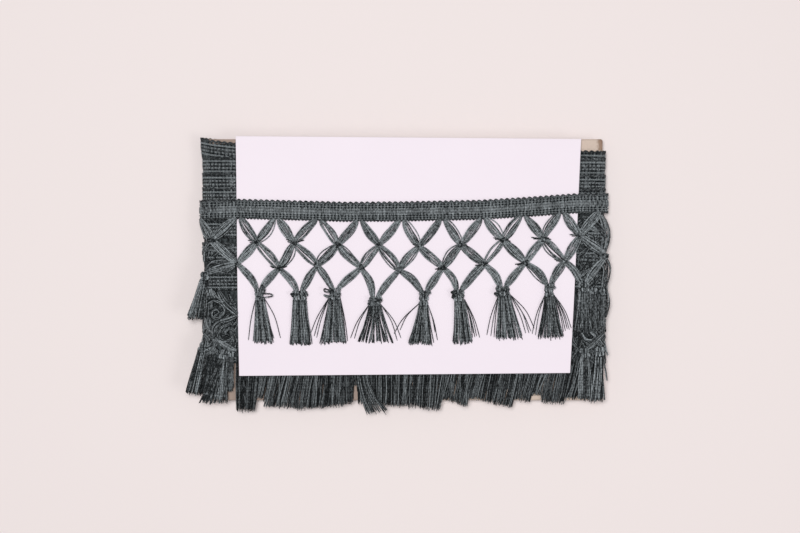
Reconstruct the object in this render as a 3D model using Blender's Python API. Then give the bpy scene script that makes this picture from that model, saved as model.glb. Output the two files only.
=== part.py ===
"""Tassel fringe trim wound on a board, with its last turn laid out over a plain paper sheet.

The trim has a woven heading, a net of knotted yarn lens shapes and a row of tied tassels. Eight
turns of it are wound the long way round a flat board, each lower than the one before, and a last
one lies over the sheet. The bolt lies on its back: +X runs along the heading, +Y to the board's top
edge, and +Z out of the front. Lengths are in metres.
"""

import math

import bmesh
import bpy

MM = 0.001

# The board that the trim is wound on, and where its middle lies in the part's frame.
BOARD_WIDTH = 350 * MM
BOARD_TOP = 117 * MM
BOARD_FOOT = -113 * MM
BOARD_THICK = 3 * MM
BOARD_CORNER = 1.2 * MM
BOARD_X = 4.66 * MM
BOARD_Y = 2.55 * MM

# The trim itself.
HEADING_HIGH = 17 * MM
HEADING_THICK = 2.0 * MM
SCALLOP_PITCH = 5.2 * MM
SCALLOP_DEPTH = 0.45 * MM
LENS_HALF_WIDTH = 3.1 * MM
LENS_END_HALF_WIDTH = 1.1 * MM
LENS_THICK = 2.2 * MM
KNOT_THICK = 3.2 * MM
KNOT_RADIUS = 2.4 * MM
KNOT_RIDGE = 0.3 * MM
ARM_LEAN = 1.7 * MM
TASSEL_THICK = 4.4 * MM
CLEAR = 0.3 * MM
CLEAR_ON_CURVE = 0.5 * MM

# The wound pile: how deep it lies on the board, and how it rounds over the board's ends.
EDGE_REACH = 177.0 * MM
HEADING_REACH = 187.0 * MM
EDGE_STRETCH = 1.6
END_STEPS = 6
BACK_STEPS = 24
FRONT_PILE_EDGE = 2.2 * MM
FRONT_PILE_CROWN = 6.8 * MM
FRONT_CROWN_Y = -25 * MM
FRONT_CROWN_SPREAD = 75 * MM
BACK_PILE = 7.0 * MM
BACK_PILE_EDGE = 3.0 * MM
BACK_FLAT_TOP = 70 * MM
BACK_FLAT_FOOT = -75 * MM
BAND_RISE = 1.2 * MM
GROOVE_RISE = 0.2 * MM
GROOVE_WIDTH = 1.2 * MM
NET_RISE = 1.8 * MM
PILE_FOOT = -80 * MM
BOARD_Z = BOARD_THICK / 2 + BACK_PILE + BAND_RISE

# Heights over the pile of what lies on it.
SHEET_THICK = 1.0 * MM
SHEET_RISE = BAND_RISE + CLEAR_ON_CURVE
ON_SHEET = SHEET_RISE + SHEET_THICK + CLEAR_ON_CURVE
HEADING_ON_PILE = BAND_RISE + CLEAR_ON_CURVE
NET_ON_PILE = NET_RISE + CLEAR
SHEET_EDGE_LEFT = -149 * MM
SHEET_EDGE_RIGHT = 156 * MM
STEP_DOWN = 14 * MM

# Each turn of the heading, from the top: where its middle line crosses the two ends of the board.
TURNS = (
    # name, left_y_mm, right_y_mm
    ("a", 105.0, 98.0),
    ("b", 93.3, 92.0),
    ("c", 78.7, 76.9),
    ("d", 66.0, 64.8),
    ("e", 54.8, 60.4),
    ("f", 37.7, 29.8),
    ("g", 17.5, 12.3),
    ("h", -8.8, -7.9),
)
# Below the lowest heading the pile is net, and below that tassels.
NET_ROWS_MM = (-25.0, -33.0, -41.0, -49.0)
TASSEL_ROWS_MM = (-58.0, -67.5, -77.0)

# The laid-out turn: its heading's middle line, net and tassels, as places on the bolt's front.
HEADING_LINE_MM = (
    # x, y
    (-178.0, 54.2),
    (-144.0, 55.2),
    (-52.0, 52.6),
    (-4.0, 52.9),
    (66.0, 54.3),
    (110.0, 57.0),
    (150.0, 60.0),
    (178.0, 60.4),
)
ROOTS_X_MM = (-178.7, -145.4, -112.1, -74.9, -39.2, -1.9, 33.7, 69.2, 104.2, 138.4, 171.7)
UPPER_KNOTS_MM = (
    # x, y
    (-167.9, 28.0),
    (-129.1, 25.8),
    (-96.4, 25.3),
    (-57.9, 23.8),
    (-21.9, 23.4),
    (12.8, 22.4),
    (49.8, 23.8),
    (86.5, 27.7),
    (121.8, 29.1),
    (154.0, 32.0),
)
LOWER_KNOTS_MM = (
    # x, y
    (-145.8, 7.3),
    (-109.2, 3.0),
    (-75.9, 5.8),
    (-37.6, 3.9),
    (-4.3, 2.0),
    (34.2, 3.9),
    (70.4, 7.3),
    (106.5, 8.1),
    (140.8, 9.6),
    (174.3, 14.0),
)
TASSELS_MM = (
    # name, head_x, head_top, head_wide, head_high, end_x, end_y, end_wide
    ("tassel_1", -128.0, -15.1, 9.0, 9.0, -122.6, -61.1, 17.0),
    ("tassel_2", -92.0, -16.5, 14.0, 8.5, -90.6, -62.5, 18.4),
    ("tassel_3", -60.5, -14.6, 14.0, 9.5, -62.2, -61.3, 25.0),
    ("tassel_4", -25.5, -21.7, 13.0, 8.0, -25.4, -61.1, 33.0),
    ("tassel_5", 17.8, -17.6, 10.0, 13.0, 14.9, -62.2, 23.0),
    ("tassel_6", 47.5, -15.5, 12.0, 10.0, 51.7, -61.3, 17.5),
    ("tassel_7", 86.2, -12.7, 14.0, 8.0, 93.7, -56.9, 29.0),
    ("tassel_8", 126.6, -11.0, 10.0, 9.5, 128.8, -56.1, 24.0),
    ("tassel_9", 157.0, -9.6, 12.0, 8.0, 156.0, -50.8, 16.0),
)
# Tassels of the turns below, which stick out of the pile at the board's ends.
EDGE_TASSELS_MM = (
    # name, head_x, head_top, head_wide, head_high, end_x, end_y, end_wide
    ("edge_tassel_left_high", -173.5, -0.2, 8.0, 7.0, -183.0, -40.0, 13.0),
    ("edge_tassel_left_low", -175.0, -62.0, 9.0, 8.0, -185.5, -106.0, 9.5),
    ("edge_tassel_left_foot", -158.5, -68.0, 9.0, 8.0, -167.5, -114.0, 18.0),
    ("edge_tassel_right_low", 158.5, -67.0, 9.0, 8.0, 158.5, -110.0, 11.0),
    ("edge_tassel_right_foot", 171.5, -66.0, 8.0, 8.0, 171.5, -112.0, 9.0),
)
TASSEL_STRANDS_ACROSS = 5
EDGE_STRANDS_ACROSS = 4
STRAND_ROWS = 2
STRAND_SHARE = 0.8

# The dense fringe of tassel ends under the board's foot, on the front and on the back.
FRINGE_HALF_WIDTH = 166 * MM
FRINGE_TOP = PILE_FOOT - CLEAR
FRINGE_BACKING = 6 * MM
FRINGE_LOCKS = 44
FRINGE_END = -119.5 * MM
FRINGE_UNEVEN = 4.0 * MM
FRINGE_SWAY = 3.0 * MM
FRINGE_SWAY_STEP = 0.4

# The paper sheet's corners: it is a little narrower at its foot, where it curls away.
SHEET_CORNERS_MM = (
    # x, y
    (-147.2, 118.3),
    (154.2, 117.4),
    (148.0, -88.5),
    (-144.5, -91.1),
)
SHEET_ACROSS = 6
SHEET_DOWN = 16

YARN = ("trim_yarn", (0.085, 0.105, 0.108), 0.72)
BOARD = ("board", (0.50, 0.43, 0.35), 0.85)
PAPER = ("paper", (0.88, 0.83, 0.88), 0.6)


def eased(share):
    """0 to 1 with level ends, for a share of the way along."""
    share = min(1.0, max(0.0, share))
    return share * share * (3 - 2 * share)


def mix(a, b, share):
    return a + (b - a) * share


def line_at(rows, x):
    """The height in metres, at x, of a line through rows of x, y in millimetres."""
    points = [(px * MM, py * MM) for px, py in rows]
    if x <= points[0][0]:
        return points[0][1]
    for (x0, y0), (x1, y1) in zip(points, points[1:]):
        if x <= x1:
            return mix(y0, y1, (x - x0) / (x1 - x0))
    return points[-1][1]


def front_depth(y):
    """From the board's middle plane to the pile's front surface: a crown that fades up and down."""
    crown = math.exp(-(((y - FRONT_CROWN_Y) / FRONT_CROWN_SPREAD) ** 2))
    return BOARD_THICK / 2 + FRONT_PILE_EDGE + FRONT_PILE_CROWN * crown


def back_depth(y):
    """The same for the back, which is pressed flat by the weight that lies on it."""
    over_top = eased((y - BACK_FLAT_TOP) / (BOARD_TOP - BACK_FLAT_TOP))
    under_foot = eased((BACK_FLAT_FOOT - y) / (BACK_FLAT_FOOT - BOARD_FOOT))
    return BOARD_THICK / 2 + mix(BACK_PILE, BACK_PILE_EDGE, max(over_top, under_foot))


def round_the_end(depth, turn, rise):
    """(x, z) on the quarter ellipse at the board's end; turn is 0 on the face and 1 at the edge."""
    stretch = EDGE_STRETCH * depth
    angle = turn * math.pi / 2
    x = EDGE_REACH - stretch + (stretch + rise) * math.sin(angle)
    return x, (depth + rise) * math.cos(angle)


def in_part(x, y, z):
    return (x + BOARD_X, y + BOARD_Y, z + BOARD_Z)


def on_front(x, y, rise):
    """A point over the bolt's front and round its ends: x is measured along the surface."""
    depth = front_depth(y)
    flat = EDGE_REACH - EDGE_STRETCH * depth
    side = math.copysign(1, x)
    if abs(x) <= flat:
        return in_part(x, y, depth + rise)
    quarter = math.pi / 2 * math.hypot(EDGE_STRETCH * depth, depth) / math.sqrt(2)
    turn = (abs(x) - flat) / quarter
    if turn <= 1:
        reach, z = round_the_end(depth, turn, rise)
    else:
        behind = back_depth(y)
        left = (turn - 1) * quarter
        quarter = math.pi / 2 * math.hypot(EDGE_STRETCH * behind, behind) / math.sqrt(2)
        reach, z = round_the_end(behind, 1 - left / quarter, rise)
        z = -z
    return in_part(side * reach, y, z)


def round_the_bolt(station, y, rise):
    """A point on a whole turn. Station 0 to 1 is the front from left to right, 1 to 2 the right
    end, 2 to 3 the back from right to left, and 3 to 4 the left end."""
    part, share = int(station) % 4, station - int(station)
    front, back = front_depth(y), back_depth(y)
    if part == 0:
        flat = EDGE_REACH - EDGE_STRETCH * front
        return in_part(mix(-flat, flat, share), y, front + rise)
    if part == 2:
        flat = EDGE_REACH - EDGE_STRETCH * back
        return in_part(mix(flat, -flat, share), y, -back - rise)
    half = share * 2
    if part == 3:
        half = 2 - half
    if half <= 1:
        reach, z = round_the_end(front, half, rise)
    else:
        reach, z = round_the_end(back, 2 - half, rise)
        z = -z
    return in_part(reach if part == 1 else -reach, y, z)


def round_the_board(station, y):
    """The matching point close round the board itself, for the inside of the wound pile."""
    part, share = int(station) % 4, station - int(station)
    half_width, half_thick = BOARD_WIDTH / 2 + CLEAR, BOARD_THICK / 2 + CLEAR
    face = half_width - 3 * MM
    if part == 0:
        return in_part(mix(-face, face, share), y, half_thick)
    if part == 2:
        return in_part(mix(face, -face, share), y, -half_thick)
    down = share if part == 1 else 1 - share
    x = mix(face, half_width, min(1, down * END_STEPS, (1 - down) * END_STEPS))
    z = half_thick * min(1, max(-1, (1 - 2 * down) / (1 - 2 / END_STEPS)))
    return in_part(x if part == 1 else -x, y, z)


def painted(name, finish):
    """Gives a sub-part its own material from a finish of name, colour and roughness."""
    _, colour, roughness = finish
    material = bpy.data.materials.new(name)
    material.use_nodes = True
    shader = material.node_tree.nodes["Principled BSDF"]
    shader.inputs["Base Color"].default_value = (*colour, 1)
    shader.inputs["Roughness"].default_value = roughness
    return material


def sub_part(name, bm, finish):
    """One solid as an object of its own, with its faces turned outwards."""
    bmesh.ops.recalc_face_normals(bm, faces=bm.faces)
    if bm.calc_volume(signed=True) < 0:
        bmesh.ops.reverse_faces(bm, faces=bm.faces)
    mesh = bpy.data.meshes.new(name)
    bm.to_mesh(mesh)
    bm.free()
    mesh.materials.append(painted(name, finish))
    obj = bpy.data.objects.new(name, mesh)
    bpy.context.scene.collection.objects.link(obj)
    return obj


def ring_of(bm, points):
    return [bm.verts.new(p) for p in points]


def join_rings(bm, first, second):
    """Quads between two rings of as many points."""
    for i, corner in enumerate(first):
        j = (i + 1) % len(first)
        bm.faces.new((corner, first[j], second[j], second[i]))


def make_board():
    """The flat board, with softened corners."""
    bpy.ops.mesh.primitive_cube_add(size=1)
    board = bpy.context.object
    board.name = "board"
    board.data.name = "board"
    high = BOARD_TOP - BOARD_FOOT
    board.scale = (BOARD_WIDTH, high, BOARD_THICK)
    board.location = in_part(0, (BOARD_TOP + BOARD_FOOT) / 2, 0)
    bpy.ops.object.transform_apply(location=False, rotation=False, scale=True)
    corners = board.modifiers.new("corners", "BEVEL")
    corners.width = BOARD_CORNER
    corners.segments = 1
    board.data.materials.append(painted("board", BOARD))
    return board


def turn_middle(turn, station):
    """Where a turn's middle line lies at a station of the loop."""
    _, left, right = turn
    part, share = int(station) % 4, station - int(station)
    across = (share, 1.0, 1 - share, 0.0)[part]
    return mix(left, right, across) * MM


def in_a_lens(column, row):
    """True where a knot or the middle of a net's lens falls, on a quarter-pitch grid."""
    return (column + row) % 2 == 0


def pile_rows(station, column):
    """(y, rise) down the pile's outer surface at one station: a step for each turn's heading, the
    net between them, and the net and tassels below the lowest one."""
    under_sheet = 0.02 < station < 0.98
    on_the_back = 2 <= station <= 3
    low = GROOVE_RISE if under_sheet else BAND_RISE if on_the_back else NET_RISE
    rows = []
    for number, turn in enumerate(TURNS):
        top = turn_middle(turn, station) + HEADING_HIGH / 2
        foot = top - HEADING_HIGH
        if number + 1 < len(TURNS):
            next_top = turn_middle(TURNS[number + 1], station) + HEADING_HIGH / 2
            foot = max(foot, next_top + GROOVE_WIDTH)
        else:
            next_top = NET_ROWS_MM[0] * MM
        rows += [(top, GROOVE_RISE), (top - GROOVE_WIDTH / 3, BAND_RISE), (foot, BAND_RISE)]
        wide_gap = foot - next_top > 3 * GROOVE_WIDTH
        if number + 1 < len(TURNS):
            rise = low if wide_gap and in_a_lens(column, number) else GROOVE_RISE
            rows.append((mix(foot, next_top, 0.5), rise))
    for number, y in enumerate(NET_ROWS_MM):
        rows.append((y * MM, low if in_a_lens(column, number) else GROOVE_RISE))
    for y in TASSEL_ROWS_MM:
        rows.append((y * MM, GROOVE_RISE if on_the_back and column % 4 > 1 else low))
    rows.append((PILE_FOOT, GROOVE_RISE))
    return rows


def make_wound_pile():
    """All the turns but the last as one closed ring round the board."""
    front = [0, 0.015, 0.06, 0.25, 0.5, 0.75, 0.94, 0.985]
    ends = [step / END_STEPS for step in range(END_STEPS)]
    back = [step / BACK_STEPS for step in range(BACK_STEPS)]
    stations = front + [1 + s for s in ends] + [2 + s for s in back] + [3 + s for s in ends]
    bm = bmesh.new()
    rings = []
    for column, station in enumerate(stations):
        rows = pile_rows(station, column)
        points = [round_the_board(station, rows[0][0])]
        points += [round_the_bolt(station, y, rise) for y, rise in rows]
        points += [round_the_board(station, rows[-1][0])]
        rings.append(ring_of(bm, points))
    for number, ring in enumerate(rings):
        join_rings(bm, ring, rings[(number + 1) % len(rings)])
    return sub_part("wound_turns", bm, YARN)


def make_sheet():
    """The paper sheet, bending softly over the pile."""
    bm = bmesh.new()
    top_left, top_right, foot_right, foot_left = SHEET_CORNERS_MM
    grid = []
    for rise in (SHEET_RISE, SHEET_RISE + SHEET_THICK):
        layer = []
        for down in range(SHEET_DOWN + 1):
            fall = down / SHEET_DOWN
            row = []
            for across in range(SHEET_ACROSS + 1):
                share = across / SHEET_ACROSS
                x, y = (
                    mix(
                        mix(top_left[axis], top_right[axis], share),
                        mix(foot_left[axis], foot_right[axis], share),
                        fall,
                    )
                    for axis in (0, 1)
                )
                row.append(bm.verts.new(on_front(x * MM, y * MM, rise)))
            layer.append(row)
        grid.append(layer)
    for layer in grid:
        for upper, lower in zip(layer, layer[1:]):
            for across in range(SHEET_ACROSS):
                bm.faces.new((upper[across], upper[across + 1], lower[across + 1], lower[across]))
    rims = []
    for layer in grid:
        rim = layer[0][:-1] + [row[-1] for row in layer[:-1]]
        rim += layer[-1][:0:-1] + [row[0] for row in layer[:0:-1]]
        rims.append(rim)
    join_rings(bm, rims[0], rims[1])
    return sub_part("display_sheet", bm, PAPER)


def rise_of_last_turn(x, on_pile):
    """How high the last turn lies over the pile: up on the sheet, and lower past the sheet's sides."""
    if x < 0:
        off_sheet = eased((SHEET_EDGE_LEFT - x) / STEP_DOWN)
    else:
        off_sheet = eased((x - SHEET_EDGE_RIGHT) / STEP_DOWN)
    return mix(ON_SHEET, on_pile, off_sheet)


def make_heading():
    """The last turn's woven heading: a flat tape with a scalloped edge on either side."""
    bm = bmesh.new()
    half = HEADING_HIGH / 2
    columns = 2 * round(2 * HEADING_REACH / SCALLOP_PITCH)
    rings = []
    for column in range(columns + 1):
        x = mix(-HEADING_REACH, HEADING_REACH, column / columns)
        middle = line_at(HEADING_LINE_MM, x)
        edge = half + (SCALLOP_DEPTH if column % 2 else -SCALLOP_DEPTH)
        under = rise_of_last_turn(x, HEADING_ON_PILE)
        section = (
            (-half * 0.88, 0),
            (half * 0.88, 0),
            (edge, HEADING_THICK * 0.5),
            (half * 0.6, HEADING_THICK),
            (-half * 0.6, HEADING_THICK),
            (-edge, HEADING_THICK * 0.5),
        )
        rings.append(ring_of(bm, [on_front(x, middle + y, under + rise) for y, rise in section]))
    for first, second in zip(rings, rings[1:]):
        join_rings(bm, first, second)
    bm.faces.new(rings[0])
    bm.faces.new(rings[-1])
    return sub_part("front_heading", bm, YARN)


class Net:
    """The net of the last turn, as one closed surface: lens-shaped arms that meet at knots."""

    STEPS = 4

    def __init__(self):
        self.bm = bmesh.new()
        self.ends = {}

    def vertex(self, x, y, rise):
        return self.bm.verts.new(on_front(x, y, rise_of_last_turn(x, NET_ON_PILE) + rise))

    def section(self, x, y, across, half_width, thick):
        """Left, top, right and bottom of an arm's four-sided section."""
        left = self.vertex(x - across[0] * half_width, y - across[1] * half_width, thick * 0.4)
        top = self.vertex(x, y, thick)
        right = self.vertex(x + across[0] * half_width, y + across[1] * half_width, thick * 0.4)
        bottom = self.vertex(x, y, 0)
        return [left, top, right, bottom]

    def arm(self, start, end, start_knot, end_knot):
        """An arm between two places. Its ends are kept for the knots that they run into."""
        length = math.dist(start, end)
        along = ((end[0] - start[0]) / length, (end[1] - start[1]) / length)
        across = (along[1], -along[0])
        first = KNOT_RADIUS if start_knot is not None else 0
        last = length - (KNOT_RADIUS if end_knot is not None else 0)
        rings = []
        for step in range(self.STEPS + 1):
            share = step / self.STEPS
            at = mix(first, last, share)
            swell = math.sin(math.pi * share) ** 0.8
            half_width = mix(LENS_END_HALF_WIDTH, LENS_HALF_WIDTH, swell)
            x, y = start[0] + along[0] * at, start[1] + along[1] * at
            rings.append(self.section(x, y, across, half_width, LENS_THICK))
        for one, other in zip(rings, rings[1:]):
            join_rings(self.bm, one, other)
        if start_knot is None:
            self.bm.faces.new(rings[0])
        else:
            angle = math.atan2(along[1], along[0])
            self.ends.setdefault(start_knot, []).append((angle, rings[0]))
        if end_knot is None:
            self.bm.faces.new(rings[-1])
        else:
            left, top, right, bottom = rings[-1]
            angle = math.atan2(-along[1], -along[0])
            self.ends.setdefault(end_knot, []).append((angle, [right, top, left, bottom]))

    def knot(self, place, number):
        """Closes the arms' ends round a knot with a raised middle."""
        top = self.vertex(place[0], place[1], KNOT_THICK)
        bottom = self.vertex(place[0], place[1], 0)
        over, under = [], []
        for _, (left, crown, right, belly) in sorted(self.ends[number], key=lambda e: e[0]):
            over += [right, crown, left]
            under += [right, belly, left]
        ridges = [self.bm.verts.new(corner.co.lerp(top.co, 0.5)) for corner in over]
        for ridge in ridges[1::3]:
            ridge.co.z += KNOT_RIDGE
        join_rings(self.bm, over, ridges)
        for rim, middle in ((ridges, top), (under, bottom)):
            for i, corner in enumerate(rim):
                self.bm.faces.new((middle, corner, rim[(i + 1) % len(rim)]))


def make_net():
    """Arms from the heading to the upper knots, on to the lower knots and down to the tassels."""
    net = Net()
    upper = [(x * MM, y * MM) for x, y in UPPER_KNOTS_MM]
    lower = [(x * MM, y * MM) for x, y in LOWER_KNOTS_MM]
    heads = EDGE_TASSELS_MM[:1] + TASSELS_MM
    root_gap = HEADING_HIGH / 2 + SCALLOP_DEPTH + CLEAR + LENS_END_HALF_WIDTH * 0.8
    for number, knot in enumerate(upper):
        for side, lean in ((0, ARM_LEAN), (1, -ARM_LEAN)):
            x = ROOTS_X_MM[number + side] * MM + lean
            root = (x, line_at(HEADING_LINE_MM, x) - root_gap)
            net.arm(root, knot, None, ("upper", number))
    for number, knot in enumerate(lower):
        for above in (number, number + 1):
            if above < len(upper):
                net.arm(upper[above], knot, ("upper", above), ("lower", number))
        for lean, (_, head_x, head_top, *_) in zip((ARM_LEAN, -ARM_LEAN), heads[number : number + 2]):
            end = (head_x * MM + lean, head_top * MM + CLEAR + LENS_END_HALF_WIDTH)
            net.arm(knot, end, ("lower", number), None)
    for number, place in enumerate(upper):
        net.knot(place, ("upper", number))
    for number, place in enumerate(lower):
        net.knot(place, ("lower", number))
    return sub_part("front_net", net.bm, YARN)


def comb(bm, across, deep, backing_rings, strand_end, steps):
    """A tied head or backing strip with strands grown out of its underside.

    backing_rings lists the backing's rings from its top down to its underside, each as a function
    of the share across and the share of the depth. Every cell of the underside is inset and
    extruded into one strand, whose end strand_end gives as a middle and a width."""
    shares = [(i / across, 0.0) for i in range(across)]
    shares += [(1.0, j / deep) for j in range(deep)]
    shares += [(1 - i / across, 1.0) for i in range(across)]
    shares += [(0.0, 1 - j / deep) for j in range(deep)]
    rings = [ring_of(bm, [ring(a, b) for a, b in shares]) for ring in backing_rings]
    for one, other in zip(rings, rings[1:]):
        join_rings(bm, one, other)
    bm.faces.new(rings[0])
    known = dict(zip(shares, rings[-1]))
    grid = {}
    for i in range(across + 1):
        for j in range(deep + 1):
            key = next((k for k in known if math.dist(k, (i / across, j / deep)) < 1e-6), None)
            if key is None:
                grid[i, j] = bm.verts.new(backing_rings[-1](i / across, j / deep))
            else:
                grid[i, j] = known[key]
    for i in range(across):
        for j in range(deep):
            corners = (grid[i, j], grid[i + 1, j], grid[i + 1, j + 1], grid[i, j + 1])
            face = bm.faces.new(corners)
            middle = face.calc_center_median()
            root = [middle + (v.co - middle) * STRAND_SHARE for v in corners]
            ring = ring_of(bm, root)
            bm.faces.remove(face)
            join_rings(bm, list(corners), ring)
            for step in range(1, steps + 1):
                centre, half_wide, half_deep = strand_end(i, j, step / steps)
                ends = [
                    (centre[0] + sx * half_wide, centre[1], centre[2] + sz * half_deep)
                    for sx, sz in ((-1, -1), (1, -1), (1, 1), (-1, 1))
                ]
                new_ring = ring_of(bm, ends)
                join_rings(bm, ring, new_ring)
                ring = new_ring
            bm.faces.new(ring)


def uneven(number):
    """A fixed value from -1 to 1 that looks unordered, for ends that weren't cut level."""
    return math.sin(number * 12.9898 + 4.1414) * math.cos(number * 7.233)


def make_tassel(name, head, end, place, across, steps):
    """A tassel of a tied head with two wound ridges and two layers of strands that fan out below.

    head is (x, top, wide, high) and end is (x, y, wide). place turns x, y and a height over what
    the tassel lies on into a point."""
    head_x, top, wide, high = head
    end_x, end_y, end_wide = end
    bm = bmesh.new()
    levels = (
        # share of the head's height, share of its width, share of its thickness
        (0.0, 0.62, 0.6),
        (0.25, 1.08, 1.0),
        (0.5, 0.86, 0.82),
        (0.75, 1.08, 1.0),
        (1.0, 0.92, 0.86),
    )

    def ring_at(level, width_share, thick_share):
        y = top - high * level
        x_middle = mix(head_x, end_x, (top - y) / (top - end_y))

        def point(a, b):
            squeeze = 1 - 0.28 * abs(2 * b - 1)
            bulge = 1 - 0.25 * abs(2 * a - 1) ** 2
            x = x_middle + (a - 0.5) * wide * width_share * squeeze
            rise = TASSEL_THICK * (0.5 + (b - 0.5) * thick_share * bulge)
            return (x, y, rise)

        return point

    def strand_end(i, j, share):
        y = mix(top - high, end_y + uneven(i + 7 * j + head_x * 900) * 1.3 * MM, share)
        x_middle = mix(head_x, end_x, (top - y) / (top - end_y))
        spread = mix(wide * 0.8, end_wide, share**0.8)
        pitch = spread / across
        layer = TASSEL_THICK / STRAND_ROWS
        half_deep = (layer - CLEAR) / 2 * mix(1.0, 0.8, share)
        rise = (j + 0.5) * layer * mix(1.0, 0.82, share)
        x = x_middle + (i + 0.5 - across / 2) * pitch
        return (x, y, rise), pitch * STRAND_SHARE / 2, half_deep

    comb(bm, across, STRAND_ROWS, [ring_at(*level) for level in levels], strand_end, steps)
    for vertex in bm.verts:
        vertex.co = place(*vertex.co)
    return sub_part(name, bm, YARN)


def on_last_turn(x, y, rise):
    return on_front(x, y, rise_of_last_turn(x, NET_ON_PILE) + rise)


def make_tassels():
    """The last turn's tassels, and those of other turns that reach out past the board's ends."""
    for name, *sizes in TASSELS_MM:
        x, top, wide, high, end_x, end_y, end_wide = (value * MM for value in sizes)
        head, end = (x, top, wide, high), (end_x, end_y, end_wide)
        make_tassel(name, head, end, on_last_turn, TASSEL_STRANDS_ACROSS, 2)
    for name, *sizes in EDGE_TASSELS_MM:
        x, top, wide, high, end_x, end_y, end_wide = (value * MM for value in sizes)
        inner_side = x - math.copysign(wide / 2, x)

        def straight_out(px, py, rise, seat=inner_side):
            return (px + BOARD_X, py + BOARD_Y, on_front(seat, py, NET_ON_PILE + rise)[2])

        head, end = (x, top, wide, high), (end_x, end_y, end_wide)
        make_tassel(name, head, end, straight_out, EDGE_STRANDS_ACROSS, 1)


def make_fringe(name, depth_at, side):
    """The close row of tassel ends at the pile's foot: a narrow backing strip and its locks."""
    bm = bmesh.new()
    inner = BOARD_THICK / 2 + CLEAR
    foot = FRINGE_TOP - FRINGE_BACKING

    def strip(y, thick_share):
        def point(a, b):
            outer = mix(inner, depth_at(FRINGE_TOP), thick_share)
            return in_part((a - 0.5) * 2 * FRINGE_HALF_WIDTH, y, side * mix(inner, outer, b))

        return point

    def lock_end(i, j, share):
        end = FRINGE_END + uneven(i * 1.7 + side) * FRINGE_UNEVEN
        y = mix(foot, end, share)
        pitch = 2 * FRINGE_HALF_WIDTH / FRINGE_LOCKS
        lean = math.sin(i * FRINGE_SWAY_STEP + side) * FRINGE_SWAY * share
        outer = mix(depth_at(FRINGE_TOP) * 0.95, inner + 2.4 * MM, share)
        x = (i + 0.5) * pitch - FRINGE_HALF_WIDTH + lean
        point = in_part(x, y, side * (inner + outer) / 2)
        half_wide = pitch * STRAND_SHARE / 2 * mix(1.0, 0.85, share)
        return point, half_wide, side * (outer - inner) / 2 * 0.9

    comb(bm, FRINGE_LOCKS, 1, [strip(FRINGE_TOP, 0.95), strip(foot, 1.0)], lock_end, 1)
    return sub_part(name, bm, YARN)


def main():
    for obj in list(bpy.data.objects):
        bpy.data.objects.remove(obj)
    make_board()
    make_wound_pile()
    make_sheet()
    make_heading()
    make_net()
    make_tassels()
    make_fringe("fringe_front", front_depth, 1)
    make_fringe("fringe_back", back_depth, -1)


main()
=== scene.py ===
"""Looks of the tassel fringe trim wound on a board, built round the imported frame.

Every yarn is a closed round tube carried along a path. Paths are worked out flat, as a place across
the bolt, a place up it and a rise over the wound pile, and are then laid over the pile and round the
board's ends by one function. Lengths are in metres.
"""

import math

import bpy
import numpy as np
from bpy.props import FloatProperty, FloatVectorProperty, IntProperty, PointerProperty
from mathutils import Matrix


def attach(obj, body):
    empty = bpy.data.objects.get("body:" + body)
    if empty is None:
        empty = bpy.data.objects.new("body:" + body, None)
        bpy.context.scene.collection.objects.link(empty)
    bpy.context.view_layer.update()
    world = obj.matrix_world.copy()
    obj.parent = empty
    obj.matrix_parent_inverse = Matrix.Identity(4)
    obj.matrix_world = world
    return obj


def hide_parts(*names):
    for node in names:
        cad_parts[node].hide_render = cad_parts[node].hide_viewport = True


bl_info = {
    "name": "Tassel fringe trim",
    "version": (1, 0, 0),
    "blender": (4, 5, 0),
    "location": "3D View > Sidebar > Trim",
    "description": "Dresses a wound bolt of tassel fringe trim, with its board and its paper sheet",
    "category": "Object",
}

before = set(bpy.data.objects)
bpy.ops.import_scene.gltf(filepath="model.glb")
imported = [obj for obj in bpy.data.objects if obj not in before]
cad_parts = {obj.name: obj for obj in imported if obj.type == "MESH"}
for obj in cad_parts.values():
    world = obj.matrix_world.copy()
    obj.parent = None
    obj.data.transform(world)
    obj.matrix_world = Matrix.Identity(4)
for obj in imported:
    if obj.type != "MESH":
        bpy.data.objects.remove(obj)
MM = 0.001

# The board and where its middle lies, as in the solids.
BOARD_X = 4.66 * MM
BOARD_Y = 2.55 * MM
BOARD_THICK = 3 * MM
BOARD_TOP = 117 * MM
BOARD_FOOT = -113 * MM

# The wound pile: its depth on the board and its round ends, as in the solids.
EDGE_REACH = 177.0 * MM
EDGE_STRETCH = 1.6
FRONT_PILE_EDGE = 2.2 * MM
FRONT_PILE_CROWN = 6.8 * MM
FRONT_CROWN_Y = -25 * MM
FRONT_CROWN_SPREAD = 75 * MM
BACK_PILE = 7.0 * MM
BACK_PILE_EDGE = 3.0 * MM
BACK_FLAT_TOP = 70 * MM
BACK_FLAT_FOOT = -75 * MM
BAND_RISE = 1.2 * MM
PILE_FOOT = -80 * MM
BOARD_Z = BOARD_THICK / 2 + BACK_PILE + BAND_RISE
CLEAR = 0.3 * MM

# How high the last turn lies over the pile.
SHEET_RISE = 1.9 * MM
SHEET_THICK = 0.45 * MM
ON_SHEET = 2.7 * MM
HEADING_ON_PILE = 1.7 * MM
NET_ON_PILE = 1.9 * MM
# The top turn rides up behind the board's top left corner.
TOP_TURN_HITCH = 5.0 * MM
TOP_TURN_HITCH_RUN = 34 * MM
TOP_TURN_BULGE = 1.6 * MM
SHEET_EDGE_LEFT = -149 * MM
SHEET_EDGE_RIGHT = 156 * MM
STEP_DOWN = 14 * MM

# The runs of one turn round the board: across the front, round an end and across the back.
FRONT_RUN = 320 * MM
END_RUN = 39 * MM
BACK_RUN = 326 * MM
TURN_RUN = FRONT_RUN + 2 * END_RUN + BACK_RUN
RUN_ENDS = np.cumsum([0, FRONT_RUN, END_RUN, BACK_RUN, END_RUN, FRONT_RUN])
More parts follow.
